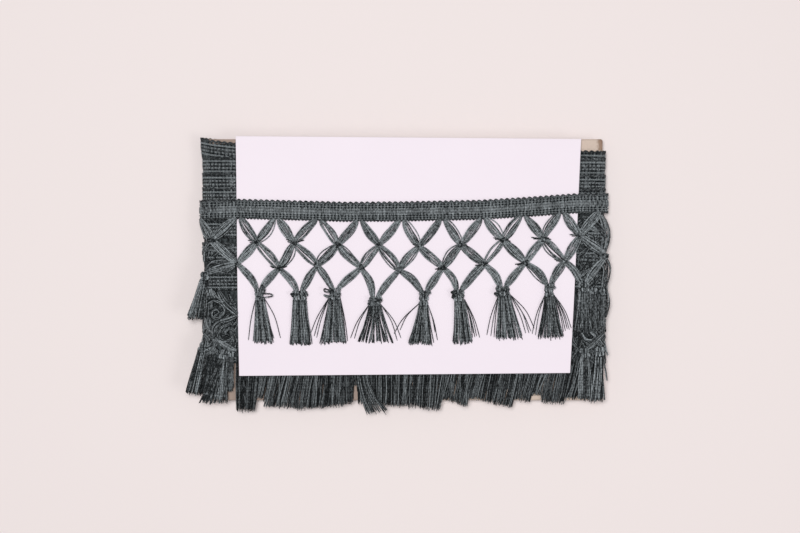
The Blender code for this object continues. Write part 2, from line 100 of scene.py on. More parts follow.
# The stretch of each turn that shows: from under the sheet's right side, round to its left side.
SHOWN_FROM = FRONT_RUN * 0.93
SHOWN_TO = TURN_RUN + FRONT_RUN * 0.08

# Woven heading.
HEADING_HIGH = 17 * MM
HEADING_REACH = 186.5 * MM
# The tape's width without its loops.
LOOP_PITCH = 4.9 * MM
STITCH_PITCH = 3.0 * MM
TURNS_MM = (
    # name, left_y, right_y
    ("a", 105.0, 98.0), ("b", 93.3, 92.0), ("c", 78.7, 76.9), ("d", 66.0, 64.8), ("e", 54.8, 60.4),
    ("f", 37.7, 29.8), ("g", 17.5, 12.3), ("h", -8.8, -7.9),
)
HEADING_LINE_MM = (
    # x, y
    (-178.0, 54.2), (-144.0, 55.2), (-52.0, 52.6), (-4.0, 52.9), (66.0, 54.3), (110.0, 57.0),
    (150.0, 60.0), (178.0, 60.4),
)

# Net and tassels of the last turn.
ARM_LEAN = 1.7 * MM
LOW_ARM_BOW = 1.5 * MM
LENS_HALF_WIDTH = 3.6 * MM
LENS_END_HALF_WIDTH = 0.9 * MM
SWAY = 0.3 * MM
ROOTS_X_MM = (-178.7, -145.4, -112.1, -74.9, -39.2, -1.9, 33.7, 69.2, 104.2, 138.4, 171.7)
UPPER_KNOTS_MM = (
    (-167.9, 28.0), (-129.1, 25.8), (-96.4, 25.3), (-57.9, 23.8), (-21.9, 23.4), (12.8, 22.4),
    (49.8, 23.8), (86.5, 27.7), (121.8, 29.1), (154.0, 32.0),
)
LOWER_KNOTS_MM = (
    (-145.8, 7.3), (-109.2, 3.0), (-75.9, 5.8), (-37.6, 3.9), (-4.3, 2.0), (34.2, 3.9), (70.4, 7.3),
    (106.5, 8.1), (140.8, 9.6), (174.3, 14.0),
)
TAG_TIPS_MM = (
    (-136.7, 27.2), (-103.4, 28.0), (-87.6, 28.5), (-52.6, 22.8), (-117.4, 4.8), (-102.5, 5.7),
    (-33.3, 1.8), (6.1, 25.4), (19.3, 26.3), (56.9, 22.8), (27.2, 1.8), (62.2, 5.3), (74.5, 6.1),
    (78.0, 29.3), (93.3, 27.6), (97.2, 6.1), (111.3, 29.8), (128.8, 29.3), (131.4, 10.5),
    (144.5, 8.8), (145.0, 32.0),
)
# Arms that have come apart into two strands with a gap: the row and number of the knot below, and
# the side that the arm comes from, 0 for left and 1 for right.
SPLIT_ARMS = (
    ("upper", 1, 0), ("upper", 3, 0), ("upper", 7, 1), ("lower", 1, 0), ("lower", 2, 0),
    ("lower", 3, 1), ("lower", 4, 0), ("lower", 6, 1), ("lower", 8, 0),
)
# Arms with one outer yarn that bows away from the rest. Those of the row named tassel run from a
# lower knot to a head on its left, -1, or its right, 1.
LOOSE_ARMS = (
    ("tassel", 7, -1), ("upper", 1, 1), ("upper", 5, 0), ("upper", 6, 0), ("upper", 7, 0),
    ("upper", 8, 1), ("lower", 1, 1), ("lower", 2, 1), ("lower", 4, 0), ("lower", 5, 1),
    ("lower", 8, 0),
)
TASSELS_MM = (
    # name, head_x, head_top, head_wide, head_high, end_x, end_y, end_wide, then the head's rows, the
    # strands, the locks that they gather into and the darkest strand's tint
    ("tassel_1", -126.6, -14.6, 9.0, 10.0, -122.8, -61.1, 16.0, 3, 86, 0, -0.05),
    ("tassel_2", -91.4, -16.5, 14.0, 8.5, -90.6, -62.5, 18.6, 2, 96, 0, -0.16),
    ("tassel_3", -60.3, -14.6, 12.0, 9.5, -62.0, -61.3, 22.0, 3, 84, 0, -0.04),
    ("tassel_4", -25.5, -21.7, 12.0, 8.0, -25.0, -61.1, 32.0, 2, 50, 10, -0.15),
    ("tassel_5", 17.6, -16.6, 9.0, 13.0, 14.9, -62.2, 20.5, 3, 90, 0, -0.10),
    ("tassel_6", 47.8, -15.5, 10.5, 10.0, 51.0, -61.3, 16.0, 3, 80, 0, 0.0),
    ("tassel_7", 86.6, -12.7, 12.0, 8.5, 92.0, -57.6, 25.0, 2, 76, 13, 0.04),
    ("tassel_8", 126.6, -10.0, 9.0, 11.5, 127.9, -56.6, 23.0, 3, 74, 14, -0.28),
    ("tassel_9", 157.0, -9.6, 10.0, 8.0, 156.0, -50.8, 16.0, 2, 60, 0, -0.10),
)
TINT_RANGE = 0.95
TASSEL_THICK = 4.4 * MM
SIDE_TASSEL_THICK = 3.0 * MM
# Single yarns that fan out at a tassel's sides, by where their tips lie.
STRAYS_MM = (
    # tassel, then places x, y of the tips
    (1, ((-136.1, -59.6), (-108.0, -57.8))),
    (3, ((-81.5, -53.4), (-78.6, -56.1), (-76.4, -57.4), (-49.3, -60.4), (-51.2, -59.0))),
    (4, ((-46.8, -57.8), (-43.4, -58.2), (-2.6, -57.8), (-5.9, -60.0))),
    (5, ((-8.8, -54.1), (-3.5, -50.8), (29.3, -59.6), (27.2, -52.6))),
    (6, ((60.0, -57.4), (60.7, -53.4), (62.0, -57.0), (63.5, -56.1), (66.3, -57.4))),
    (7, ((72.4, -55.2), (75.9, -56.1), (78.7, -56.9), (106.5, -53.4), (109.3, -53.4))),
    (7, ((113.9, -49.1), (111.0, -52.0))),
    (8, ((112.1, -54.1), (114.9, -55.2), (137.4, -53.9), (139.5, -52.4), (141.2, -51.4))),
    (8, ((142.8, -49.9), (144.6, -50.4), (146.3, -49.1))),
)
# Loose loops and ends that stick out of the heads, as the places x, y that each passes.
HEAD_LOOPS_MM = (
    # tassel, then places
    (1, ((-129.5, -19.3), (-122.0, -18.8), (-115.9, -19.2), (-115.2, -21.0), (-122.0, -22.1),
         (-128.8, -22.2))),
    (1, ((-126.5, -15.0), (-123.6, -11.4), (-121.4, -14.8), (-122.2, -18.8))),
    (3, ((-62.0, -15.0), (-66.0, -15.6), (-69.4, -14.6), (-69.0, -17.0), (-63.0, -17.6))),
    (3, ((-62.0, -19.0), (-66.0, -20.6), (-69.9, -20.0), (-66.2, -22.2), (-62.0, -21.4))),
    (4, ((-31.6, -25.4), (-26.0, -22.0), (-19.6, -24.2))),
    (5, ((14.0, -17.8), (22.0, -17.0), (22.4, -18.8), (14.4, -19.6))),
    (7, ((86.0, -17.4), (79.6, -18.0), (79.8, -19.8), (86.0, -20.0))),
    (8, ((127.0, -9.6), (130.0, -8.0), (130.6, -10.6), (128.4, -12.2))),
    (8, ((122.4, -13.2), (130.8, -12.6), (131.2, -14.2), (124.0, -15.0))),
)
# Small knobs of yarn on the heads.
HEAD_KNOBS_MM = (
    # tassel, then the middles x, y
    (1, ((-123.6, -14.2),)),
    (2, ((-97.2, -19.8), (-93.4, -19.4), (-89.4, -19.4), (-85.8, -19.8))),
    (3, ((-63.6, -17.2), (-57.0, -20.0))),
    (4, ((-29.4, -27.6), (-25.8, -25.2), (-21.0, -25.0), (-24.0, -28.4))),
    (5, ((20.6, -18.4),)),
    (6, ((42.8, -17.8), (43.2, -21.2), (47.4, -19.2))),
    (7, ((82.0, -15.8), (81.4, -19.4), (86.0, -15.6))),
)
EDGE_TASSELS_MM = (
    # name, head_x, head_top, head_wide, head_high, end_x, end_y, end_wide
    ("edge_tassel_left_high", -173.5, -0.2, 8.0, 7.0, -183.0, -40.0, 14.0),
    ("edge_tassel_left_low", -175.0, -62.0, 9.0, 8.0, -185.5, -106.0, 10.5),
    ("edge_tassel_left_foot", -156.5, -68.0, 9.0, 8.0, -166.5, -114.0, 24.0),
    ("edge_tassel_right_low", 158.5, -67.0, 9.0, 8.0, 158.5, -110.0, 12.0),
    ("edge_tassel_right_foot", 171.5, -66.0, 8.0, 8.0, 168.8, -112.0, 11.5),
)
# Tassels of lower turns that lie flat on the pile beside the sheet.
SIDE_TASSELS_MM = (
    # head_x, head_top, head_wide, head_high, end_x, end_y, end_wide, strands
    (155.5, -15.5, 9.0, 5.0, 155.5, -52.5, 12.0, 40),
    (165.5, -14.5, 9.0, 5.0, 164.5, -52.0, 13.0, 40),
    (174.0, -15.5, 7.0, 5.0, 172.5, -48.5, 8.0, 40),
    (-152.0, -68.0, 7.0, 6.0, -154.5, -104.0, 8.0, 40),
    (-169.0, -66.0, 8.0, 6.0, -174.5, -107.0, 19.0, 90),
    (-170.5, -15.0, 7.0, 6.0, -173.0, -52.0, 9.0, 40),
)
# The jumble of hidden net that fills the gaps beside the sheet, between the headings that show.
FILLER_X_MM = (149.0, 176.8)
FILLERS_MM = (
    # side, arms, lowest y, highest y
    (-1, 38, -78.0, -27.0), (-1, 6, 19.0, 29.0), (1, 20, -12.0, 46.0), (1, 24, -78.0, -42.0),
)
# Loose bundles of the lower turns' nets beside the sheet: half width, yarns, rise, then the places
# in plan that the bundle passes, in millimetres.
SIDE_BUNDLES_MM = (
    (2.4, 7, 2.4, ((-146.7, 6.6), (-159.4, 9.2), (-168.2, 7.4), (-174.4, 0.9))),
    (0.9, 3, 2.2, ((-148.0, 4.8), (-157.7, 0.2), (-167.3, 3.1))),
    (1.8, 5, 1.8, ((-168.6, 27.6), (-173.9, 19.3), (-175.2, 8.8))),
    (2.6, 7, 2.4, ((-162.1, -17.1), (-155.9, -26.3), (-145.9, -36.8))),
    (1.7, 5, 2.0, ((-167.3, -16.6), (-164.2, -21.9), (-157.7, -26.3))),
    (1.6, 6, 2.6, ((-172.6, -27.2), (-166.4, -24.1), (-158.6, -27.6), (-155.9, -35.0), (-162.1, -41.6),
                   (-168.6, -39.4), (-168.2, -33.7), (-163.4, -32.0), (-160.7, -35.5))),

    (2.2, 7, 3.0, ((-145.4, -38.1), (-153.3, -41.6), (-161.2, -43.8), (-166.4, -49.5), (-166.9, -55.2))),
    (1.5, 5, 2.2, ((-150.2, -45.6), (-157.7, -47.7), (-162.5, -53.4), (-158.6, -59.1),
                   (-151.5, -58.3), (-148.9, -52.1), (-152.9, -49.9), (-156.4, -53.4))),

    (1.8, 6, 2.0, ((-174.5, -40.3), (-172.6, -47.3), (-167.8, -54.8))),
    (2.3, 7, 2.8, ((-165.6, -57.8), (-157.7, -63.5), (-146.7, -68.8))),
    (2.2, 7, 2.4, ((-166.9, -58.3), (-169.5, -63.1), (-177.0, -68.3))),
    (2.0, 6, 2.2, ((-164.7, -61.3), (-168.2, -68.3), (-175.6, -73.6), (-177.4, -78.8))),
    (1.8, 6, 1.6, ((-145.9, -43.8), (-149.8, -50.8), (-147.2, -63.1))),
    (1.7, 5, 1.6, ((-174.3, -22.8), (-175.6, -31.5), (-173.4, -42.0))),
    (1.8, 6, 1.8, ((-176.0, 17.0), (-170.0, 21.0), (-160.0, 19.0), (-149.0, 25.0))),
    (3.4, 10, 2.0, ((173.0, 50.0), (176.8, 40.0), (177.4, 28.0), (174.6, 15.2))),
    (3.6, 10, 2.0, ((172.7, 14.5), (176.8, 8.0), (178.2, 0.0), (175.4, -13.6))),
    (1.9, 6, 1.8, ((157.0, 34.0), (164.0, 42.0), (172.0, 50.0))),
    (2.4, 7, 2.4, ((156.0, 48.0), (164.0, 45.0), (172.0, 38.5), (178.0, 30.0))),
    (2.0, 6, 2.0, ((159.0, 41.0), (167.0, 38.0), (175.0, 36.0))),
    (1.8, 6, 1.8, ((157.0, 30.0), (166.0, 25.0), (176.0, 17.0))),
    (2.6, 7, 2.0, ((155.1, -5.3), (164.7, 1.8), (174.3, 8.8))),
    (2.0, 6, 1.6, ((176.0, 12.0), (168.0, 2.0), (156.0, -10.0))),
    (2.4, 7, 1.8, ((176.8, -14.0), (178.0, -26.0), (176.5, -40.0))),
    (1.6, 5, 2.6, ((155.1, -53.4), (158.6, -59.6), (164.7, -60.4), (168.2, -56.1), (162.9, -51.7))),
    (2.4, 7, 3.2, ((174.8, -53.4), (166.4, -61.3), (158.1, -69.2))),
    (1.8, 6, 2.4, ((176.6, -56.1), (170.8, -64.8), (162.9, -71.0))),
    (1.6, 5, 2.0, ((168.2, -50.8), (171.7, -57.8), (176.1, -63.9))),
    (1.7, 5, 1.8, ((152.0, -50.0), (154.5, -57.0), (152.5, -66.0))),
    # single yarns that stand off the right-hand foot
    (0.4, 2, 1.6, ((173.6, -56.0), (176.8, -66.0), (179.4, -73.4))),
    (0.4, 2, 1.6, ((172.4, -68.0), (175.6, -80.4), (178.8, -95.8))),
    (0.4, 2, 1.6, ((170.6, -82.0), (173.8, -96.4), (176.6, -112.4))),
)
SIDE_KNOTS_MM = ((-167.4, 28.2), (-167.0, -56.6), (155.5, -6.5), (174.3, 13.5))

# The outermost net of the lowest turn, round the ends and over the back.
NET_PITCH = 35.5 * MM
BACK_NET_TOP = -17.5 * MM
BACK_KNOT_ROWS = (-37 * MM, -57 * MM)
BACK_HEAD_Y = -75 * MM
BACK_TASSEL_END = -110 * MM
BACK_SKIRT_END = -109 * MM

# The close skirt of tassel ends under the sheet: where its cut ends lie, and how far its strands lean.
SKIRT_TOP = -74 * MM
SKIRT_PITCH = 0.64 * MM
SKIRT_REACH = (-147.5 * MM, 167.5 * MM)
SKIRT_ENDS_MM = (
    # x, y
    (-166.4, -113.9), (-150.7, -113.0), (-148.9, -122.0), (-131.4, -122.0), (-130.5, -110.4),
    (-124.4, -110.4), (-123.1, -118.3), (-99.9, -119.1), (-92.9, -120.5), (-69.2, -119.1),
    (-51.7, -116.9), (-44.8, -114.8), (-43.9, -100.0), (-41.2, -100.0), (-40.4, -115.6),
    (-16.6, -117.4), (7.0, -117.8), (18.4, -120.5), (31.5, -120.9), (32.9, -112.1), (39.4, -113.0),
    (51.7, -117.4), (56.1, -118.3), (56.9, -112.1), (67.5, -112.1), (68.8, -113.4), (94.6, -119.1),
    (95.9, -111.7), (110.8, -114.3), (111.7, -107.7), (119.6, -107.7), (120.5, -114.8),
    (140.2, -115.6), (141.0, -110.4), (143.7, -111.3), (156.8, -111.7), (161.2, -113.0),
    (168.0, -113.9),
)
SKIRT_LEAN_MM = (
    # x, how far the top lies to the right of the tip
    (-150.0, 1.0), (-125.0, 9.0), (-80.0, 5.0), (-50.0, 0.0), (20.0, 3.0), (60.0, 9.0),
    (110.0, 11.0), (168.0, 4.0),
)
SHEET_STEPS = 49
# Width of the rows of faces at the sheet's rims, as a share of the sheet: narrow ones keep the smooth
# shading flat up to the edge.
SHEET_RIM = 0.0015
SHEET_CORNERS_MM = (
    # top left, top right, foot right, foot left
    (-147.8, 119.3), (155.6, 116.8), (145.6, -88.5), (-144.5, -91.1),
)

# Photograph's view: straight down on the bolt.
VIEW_CENTRE = (1.16 * MM, 7.37 * MM, 20 * MM)
VIEW_WIDTH = 700.8 * MM
LENS_LENGTH_MM = 85.0
SENSOR_MM = 36.0


class YarnSettings(bpy.types.PropertyGroup):
    """Thickness and colour of the trim's yarn."""

    radius: FloatProperty(
        name="Yarn radius",
        description="Half the thickness of one yarn of the net and the tassels",
        default=0.46 * MM,
        min=0.1 * MM,
        max=2 * MM,
        unit="LENGTH",
        precision=5,
    )
    dark: FloatVectorProperty(
        name="Dark yarn",
        description="Colour of the darkest yarns",
        default=(0.006, 0.0085, 0.010),
        subtype="COLOR",
    )
    light: FloatVectorProperty(
        name="Light yarn",
        description="Colour of the lightest yarns",
        default=(0.408, 0.447, 0.468),
        subtype="COLOR",
    )
    seed: IntProperty(
        name="Seed",
        description="Start of the random draws that make the yarns uneven",
        default=7,
    )


class StageSettings(bpy.types.PropertyGroup):
    """Floor and light."""

    floor: FloatVectorProperty(
        name="Floor",
        description="Colour of the plain pale floor",
        default=(0.88, 0.795, 0.785),
        subtype="COLOR",
    )
    sky: FloatProperty(
        name="Sky strength",
        description="Strength of the even light from all round",
        default=0.22,
        min=0.0,
    )
    lamp: FloatProperty(
        name="Lamp power",
        description="Power of the soft lamp high over the bolt",
        default=53.4,
        min=0.0,
        unit="POWER",
    )


def mix(a, b, share):
    """a at share 0 and b at share 1."""
    return a + (b - a) * share


def eased(share):
    """Smooth step: 3s^2 - 2s^3 for a share kept between 0 and 1."""
    share = np.clip(share, 0.0, 1.0)
    return share * share * (3 - 2 * share)


def line_at(rows_mm, x):
    """Height in metres at x, on a line through rows of x and y in millimetres."""
    rows = np.array(rows_mm) * MM
    return np.interp(x, rows[:, 0], rows[:, 1])


def through(points, samples):
    """Places along a smooth curve through the points, (samples, 2): a Catmull-Rom spline, each piece
    the cubic through its two ends with slopes of half the step between the neighbours."""
    points = np.asarray(points, dtype=float)
    padded = np.vstack((2 * points[0] - points[1], points, 2 * points[-1] - points[-2]))
    at = np.linspace(0, len(points) - 1, samples)
    piece = np.minimum(at.astype(int), len(points) - 2)
    t = (at - piece)[:, None]
    p0, p1, p2, p3 = (padded[piece + k] for k in range(4))
    squared = (2 * p0 - 5 * p1 + 4 * p2 - p3) * t**2
    cubed = (3 * p1 - p0 - 3 * p2 + p3) * t**3
    return 0.5 * (2 * p1 + (p2 - p0) * t + squared + cubed)


def front_depth(y):
    """From the board's middle plane to the pile's front: a base depth plus a bell-shaped crown."""
    crown = np.exp(-(((y - FRONT_CROWN_Y) / FRONT_CROWN_SPREAD) ** 2))
    return BOARD_THICK / 2 + FRONT_PILE_EDGE + FRONT_PILE_CROWN * crown


def back_depth(y):
    """From the board's middle plane to the pile's back: flat, and thinner past its top and foot."""
    over_top = eased((y - BACK_FLAT_TOP) / (BOARD_TOP - BACK_FLAT_TOP))
    under_foot = eased((BACK_FLAT_FOOT - y) / (BACK_FLAT_FOOT - BOARD_FOOT))
    return BOARD_THICK / 2 + mix(BACK_PILE, BACK_PILE_EDGE, np.maximum(over_top, under_foot))


def round_the_end(depth, turn, rise):
    """x and z on a quarter ellipse: turn is 0 on the face and 1 at the board's end."""
    stretch = EDGE_STRETCH * depth
    angle = turn * math.pi / 2
    return EDGE_REACH - stretch + (stretch + rise) * np.sin(angle), (depth + rise) * np.cos(angle)


def in_part(x, y, z):
    """Board coordinates to the part's own, as one array of points."""
    x, y, z = np.broadcast_arrays(x, y, z)
    return np.stack((x + BOARD_X, y + BOARD_Y, z + BOARD_Z), axis=-1)


def on_front(x, y, rise):
    """Over the bolt's front and round its ends: x is measured along the surface, which is flat, then
    a quarter ellipse down to the end and one more on to the back."""
    front, back = front_depth(y), back_depth(y)
    flat = EDGE_REACH - EDGE_STRETCH * front
    arc = math.pi / 2 * math.sqrt((EDGE_STRETCH**2 + 1) / 2)
    past = np.maximum(np.abs(x) - flat, 0)
    turn = past / (arc * front)
    behind = (past - arc * front) / (arc * back)
    reach, z = round_the_end(front, np.minimum(turn, 1), rise)
    back_reach, back_z = round_the_end(back, 1 - behind, rise)
    reach = np.where(turn <= 1, reach, back_reach)
    z = np.where(turn <= 1, z, -back_z)
    return in_part(np.where(past > 0, np.sign(x) * reach, x), y, np.where(past > 0, z, front + rise))


def seen_from_front(x, y, rise):
    """Over the bolt's front at a place in plan: past the flat face the height falls as the ellipse
    does, and past the board's end it stays low on the side."""
    front = front_depth(y) + rise
    stretch = EDGE_STRETCH * front_depth(y) + rise
    over = np.clip((np.abs(x) - (EDGE_REACH + rise - stretch)) / stretch, 0, 0.93)
    return in_part(x, y, front * np.sqrt(1 - over**2))


def round_the_bolt(along, y, rise):
    """On a whole turn: along runs in metres over the front from left to right, round the right end,
    over the back from right to left and round the left end."""
    station = np.interp(along, RUN_ENDS, np.arange(6.0)) % 4
    part, share = np.floor(station), station % 1
    front, back = front_depth(y), back_depth(y)
    half = np.where(part == 3, 2 - 2 * share, 2 * share)
    on_face = half <= 1
    reach, z = round_the_end(np.where(on_face, front, back), np.where(on_face, half, 2 - half), rise)
    z = np.where(on_face, z, -z)
    front_flat = EDGE_REACH - EDGE_STRETCH * front
    back_flat = EDGE_REACH - EDGE_STRETCH * back
    x = np.where(part == 1, reach, -reach)
    x = np.where(part == 0, mix(-front_flat, front_flat, share), x)
    x = np.where(part == 2, mix(back_flat, -back_flat, share), x)
    z = np.where(part == 0, front + rise, z)
    z = np.where(part == 2, -back - rise, z)
    return in_part(x, y, z)


def share_across(along):
    """How far from the left end to the right end of the board a place on a turn is, 0 to 1."""
    return np.interp(along, RUN_ENDS, (0.0, 1.0, 1.0, 0.0, 0.0, 1.0))


def rise_of_last_turn(x, on_pile):
    """The last turn's height over the pile: up on the sheet, and eased down past the sheet's sides."""
    off_left = eased((SHEET_EDGE_LEFT - x) / STEP_DOWN)
    off_right = eased((x - SHEET_EDGE_RIGHT) / STEP_DOWN)
    return mix(ON_SHEET, on_pile, np.maximum(off_left, off_right))


def on_last_turn(x, y, rise):
    """On the last turn's net and tassels, over the sheet or beside it."""
    return on_front(x, y, rise_of_last_turn(x, NET_ON_PILE) + rise)


class Piece:
    """Gathers surfaces, and makes one joined mesh of them with a UV map and a tint for each yarn."""

    def __init__(self):
        self.points, self.tints = [], []
        self.corners, self.sizes, self.uvs = [], [], []
        self.count = 0

    def add(self, points, faces, uv, tint):
        """faces is (faces, corners) of point numbers, and uv has one place for each corner."""
        self.points.append(points.reshape(-1, 3))
        self.tints.append(np.broadcast_to(tint, (len(self.points[-1]),)))
        self.corners.append((faces + self.count).ravel())
        self.sizes.append(np.full(len(faces), faces.shape[1]))
        self.uvs.append(uv.reshape(-1, 2))
        self.count += len(self.points[-1])

    def yarns(self, paths, radius, sides=4, upright=(0.0, 0.0, 1.0), tint=0.5):
        """Closed tubes: each section is middle + radius (cos a side + sin a up), where side is the
        path's direction crossed with upright, and up is side crossed with the direction. paths is
        (yarns, places, 3). The tips are drawn in to two thirds."""
        paths = np.asarray(paths, dtype=float)
        many, places, _ = paths.shape
        radius = np.broadcast_to(np.asarray(radius, dtype=float), (many, places)).copy()
        radius[:, 0] *= 0.66
        radius[:, -1] *= 0.66
        direction = np.gradient(paths, axis=1)
        direction /= np.linalg.norm(direction, axis=2, keepdims=True) + 1e-12
        side = np.cross(direction, np.broadcast_to(upright, direction.shape))
        side /= np.linalg.norm(side, axis=2, keepdims=True) + 1e-12
        up = np.cross(side, direction)
        angle = 2 * math.pi * np.arange(sides) / sides
        ring = np.cos(angle)[:, None] * side[:, :, None] + np.sin(angle)[:, None] * up[:, :, None]
        points = paths[:, :, None] + radius[:, :, None, None] * ring
        index = np.arange(many * places * sides).reshape(many, places, sides)
        beside = np.roll(index, -1, axis=2)
        quads = np.stack((index[:, :-1], index[:, 1:], beside[:, 1:], beside[:, :-1]), axis=-1)
        steps = np.linalg.norm(np.diff(paths, axis=1), axis=2)
        along = np.concatenate((np.zeros((many, 1)), np.cumsum(steps, axis=1)), axis=1)
        around = np.arange(sides + 1) / sides
        shape = (many, places - 1, sides)
        near, far = along[:, :-1, None], along[:, 1:, None]
        low, high = around[:-1], around[1:]
        u = np.stack([np.broadcast_to(part, shape) for part in (near, far, far, near)], axis=-1)
        v = np.stack([np.broadcast_to(part, shape) for part in (low, low, high, high)], axis=-1)
        column = np.asarray(tint, dtype=float).reshape(-1, 1)
        each_tint = np.broadcast_to(column, (many, places * sides)).ravel()
        base = self.count
        self.add(points, quads.reshape(-1, 4), np.stack((u, v), axis=-1), each_tint)
        for cap in (index[:, 0], index[:, -1, ::-1]):
            self.corners.append((cap + base).ravel())
            self.sizes.append(np.full(many, sides))
            self.uvs.append(np.zeros((many * sides, 2)))

    def rings(self, points, tint=0.5, closed=True):
        """A closed profile carried along a path: points is (sections, corners, 3). The path closes on
        itself, or else ends in two flat caps."""
        many, corners, _ = points.shape
        index = np.arange(many * corners).reshape(many, corners)
        ahead = np.roll(index, -1, axis=0)
        beside = np.roll(index, -1, axis=1)
        both = np.roll(ahead, -1, axis=1)
        quads = np.stack((index, ahead, both, beside), axis=-1)
        last = many if closed else many - 1
        steps = np.linalg.norm(np.diff(points[:, 0], axis=0, append=points[:1, 0]), axis=1)
        along = np.concatenate(([0], np.cumsum(steps)))
        around = np.arange(corners + 1) / corners
        shape = (last, corners)
        near, far = (np.broadcast_to(a[:, None], shape) for a in (along[:last], along[1 : last + 1]))
        low, high = (np.broadcast_to(a[None], shape) for a in (around[:-1], around[1:]))
        u = np.stack((near, far, far, near), axis=-1)
        uv = np.stack((u, np.stack((low, low, high, high), axis=-1)), axis=-1)
        base = self.count
        self.add(points, quads[:last].reshape(-1, 4), uv, tint)
        if not closed:
            for cap in (index[0], index[-1, ::-1]):
                self.corners.append(cap + base)
                self.sizes.append(np.array([corners]))
                self.uvs.append(np.zeros((corners, 2)))

    def finish(self, name, material, slot, replaces=()):
        """Makes the object, gives it its material and lets it ride on the bolt. The slot is not used."""
        mesh = bpy.data.meshes.new(name)
        points = np.concatenate(self.points)
        corners = np.concatenate(self.corners)
        sizes = np.concatenate(self.sizes)
        mesh.vertices.add(len(points))
        mesh.vertices.foreach_set("co", points.ravel())
        mesh.loops.add(len(corners))
        mesh.loops.foreach_set("vertex_index", corners.astype(np.int32))
        mesh.polygons.add(len(sizes))
        starts = np.cumsum(sizes) - sizes
        mesh.polygons.foreach_set("loop_start", starts.astype(np.int32))
        mesh.update(calc_edges=True)
        mesh.polygons.foreach_set("use_smooth", np.ones(len(sizes), dtype=bool))
        mesh.uv_layers.new(name="yarn").data.foreach_set("uv", np.concatenate(self.uvs).ravel())
        tint = mesh.attributes.new("tint", "FLOAT", "POINT")
        tint.data.foreach_set("value", np.concatenate(self.tints).astype(np.float32))
        mesh.update()
        if mesh.validate():
            raise RuntimeError(f"{name} has broken faces")
        obj = bpy.data.objects.new(name, mesh)
        bpy.context.scene.collection.objects.link(obj)
        mesh.materials.append(material)
        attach(obj, "root")
        if replaces:
            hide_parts(*replaces)
        return obj


class Socket:
    """A shader value with arithmetic: each operator adds one Math node."""

    def __init__(self, shader, link):
        self.shader, self.link = shader, link

    def math(self, operation, first, second=0.0):
        return self.shader.node("ShaderNodeMath", {"operation": operation}, {0: first, 1: second})

    def __add__(self, other):
        return self.math("ADD", self, other)

    __radd__ = __add__

    def __sub__(self, other):
        return self.math("SUBTRACT", self, other)

    def __rsub__(self, other):
        return self.math("SUBTRACT", other, self)

    def __mul__(self, other):
        return self.math("MULTIPLY", self, other)

    __rmul__ = __mul__

    def above(self, edge, softness):
        """0 below the edge and 1 above it, with a soft step."""
        values = {"Value": self, "From Min": edge - softness, "From Max": edge + softness}
        return self.shader.node("ShaderNodeMapRange", {"interpolation_type": "SMOOTHSTEP"}, values)

    def sine(self):
        return self.math("SINE", self)


class Shader:
    """One material with a Principled shader, and the nodes that feed it."""

    def __init__(self, name, roughness, specular=0.5, sheen=0.0):
        self.material = bpy.data.materials.new(name)
        self.material.use_nodes = True
        self.tree = self.material.node_tree
        self.surface = self.tree.nodes["Principled BSDF"]
        self.surface.inputs["Roughness"].default_value = roughness
        self.surface.inputs["Specular IOR Level"].default_value = specular
        self.surface.inputs["Sheen Weight"].default_value = sheen
        self.surface.inputs["Sheen Roughness"].default_value = 0.4

    def node(self, kind, settings=None, values=None, output=0):
        """Adds a node: its settings first, then the values or links of its sockets."""
        made = self.tree.nodes.new(kind)
        for key, value in (settings or {}).items():
            setattr(made, key, value)
        for key, value in (values or {}).items():
            if isinstance(value, Socket):
                self.tree.links.new(value.link, made.inputs[key])
            else:
                made.inputs[key].default_value = value
        return Socket(self, made.outputs[output])

    def place(self):
        return self.node("ShaderNodeTexCoord", output="Object")

    def uv(self):
        return self.node("ShaderNodeUVMap", {"uv_map": "yarn"})

    def tint(self):
        return self.node("ShaderNodeAttribute", {"attribute_name": "tint"}, output="Fac")

    def parts(self, vector):
        split = self.node("ShaderNodeSeparateXYZ", None, {0: vector})
        return [Socket(self, out) for out in split.link.node.outputs]

    def joined(self, x, y, z):
        return self.node("ShaderNodeCombineXYZ", None, {0: x, 1: y, 2: z})

    def noise(self, vector, scale, detail=2.0, roughness=0.5):
        values = {"Vector": vector, "Scale": scale, "Detail": detail, "Roughness": roughness}
        return self.node("ShaderNodeTexNoise", None, values)

    def stretched(self, vector, scale):
        """The vector with each of its parts multiplied by its own number."""
        return self.node("ShaderNodeMapping", None, {"Vector": vector, "Scale": scale})

    def colours(self, share, first, second):
        """A colour mix from first to second."""
        pair = [c if isinstance(c, Socket) else (*c, 1.0) for c in (first, second)]
        values = {0: share, 6: pair[0], 7: pair[1]}
        return self.node("ShaderNodeMix", {"data_type": "RGBA"}, values, output=2)

    def paint(self, colour=None, roughness=None, height=None, depth=0.0):
        """Links the colour, the roughness and a bump of the given depth in metres."""
        if colour is not None:
            self.tree.links.new(colour.link, self.surface.inputs["Base Color"])
        if roughness is not None:
            self.tree.links.new(roughness.link, self.surface.inputs["Roughness"])
        if height is not None:
            values = {"Strength": 1.0, "Distance": depth, "Height": height}
            bump = self.node("ShaderNodeBump", None, values)
            self.tree.links.new(bump.link, self.surface.inputs["Normal"])
        return self.material


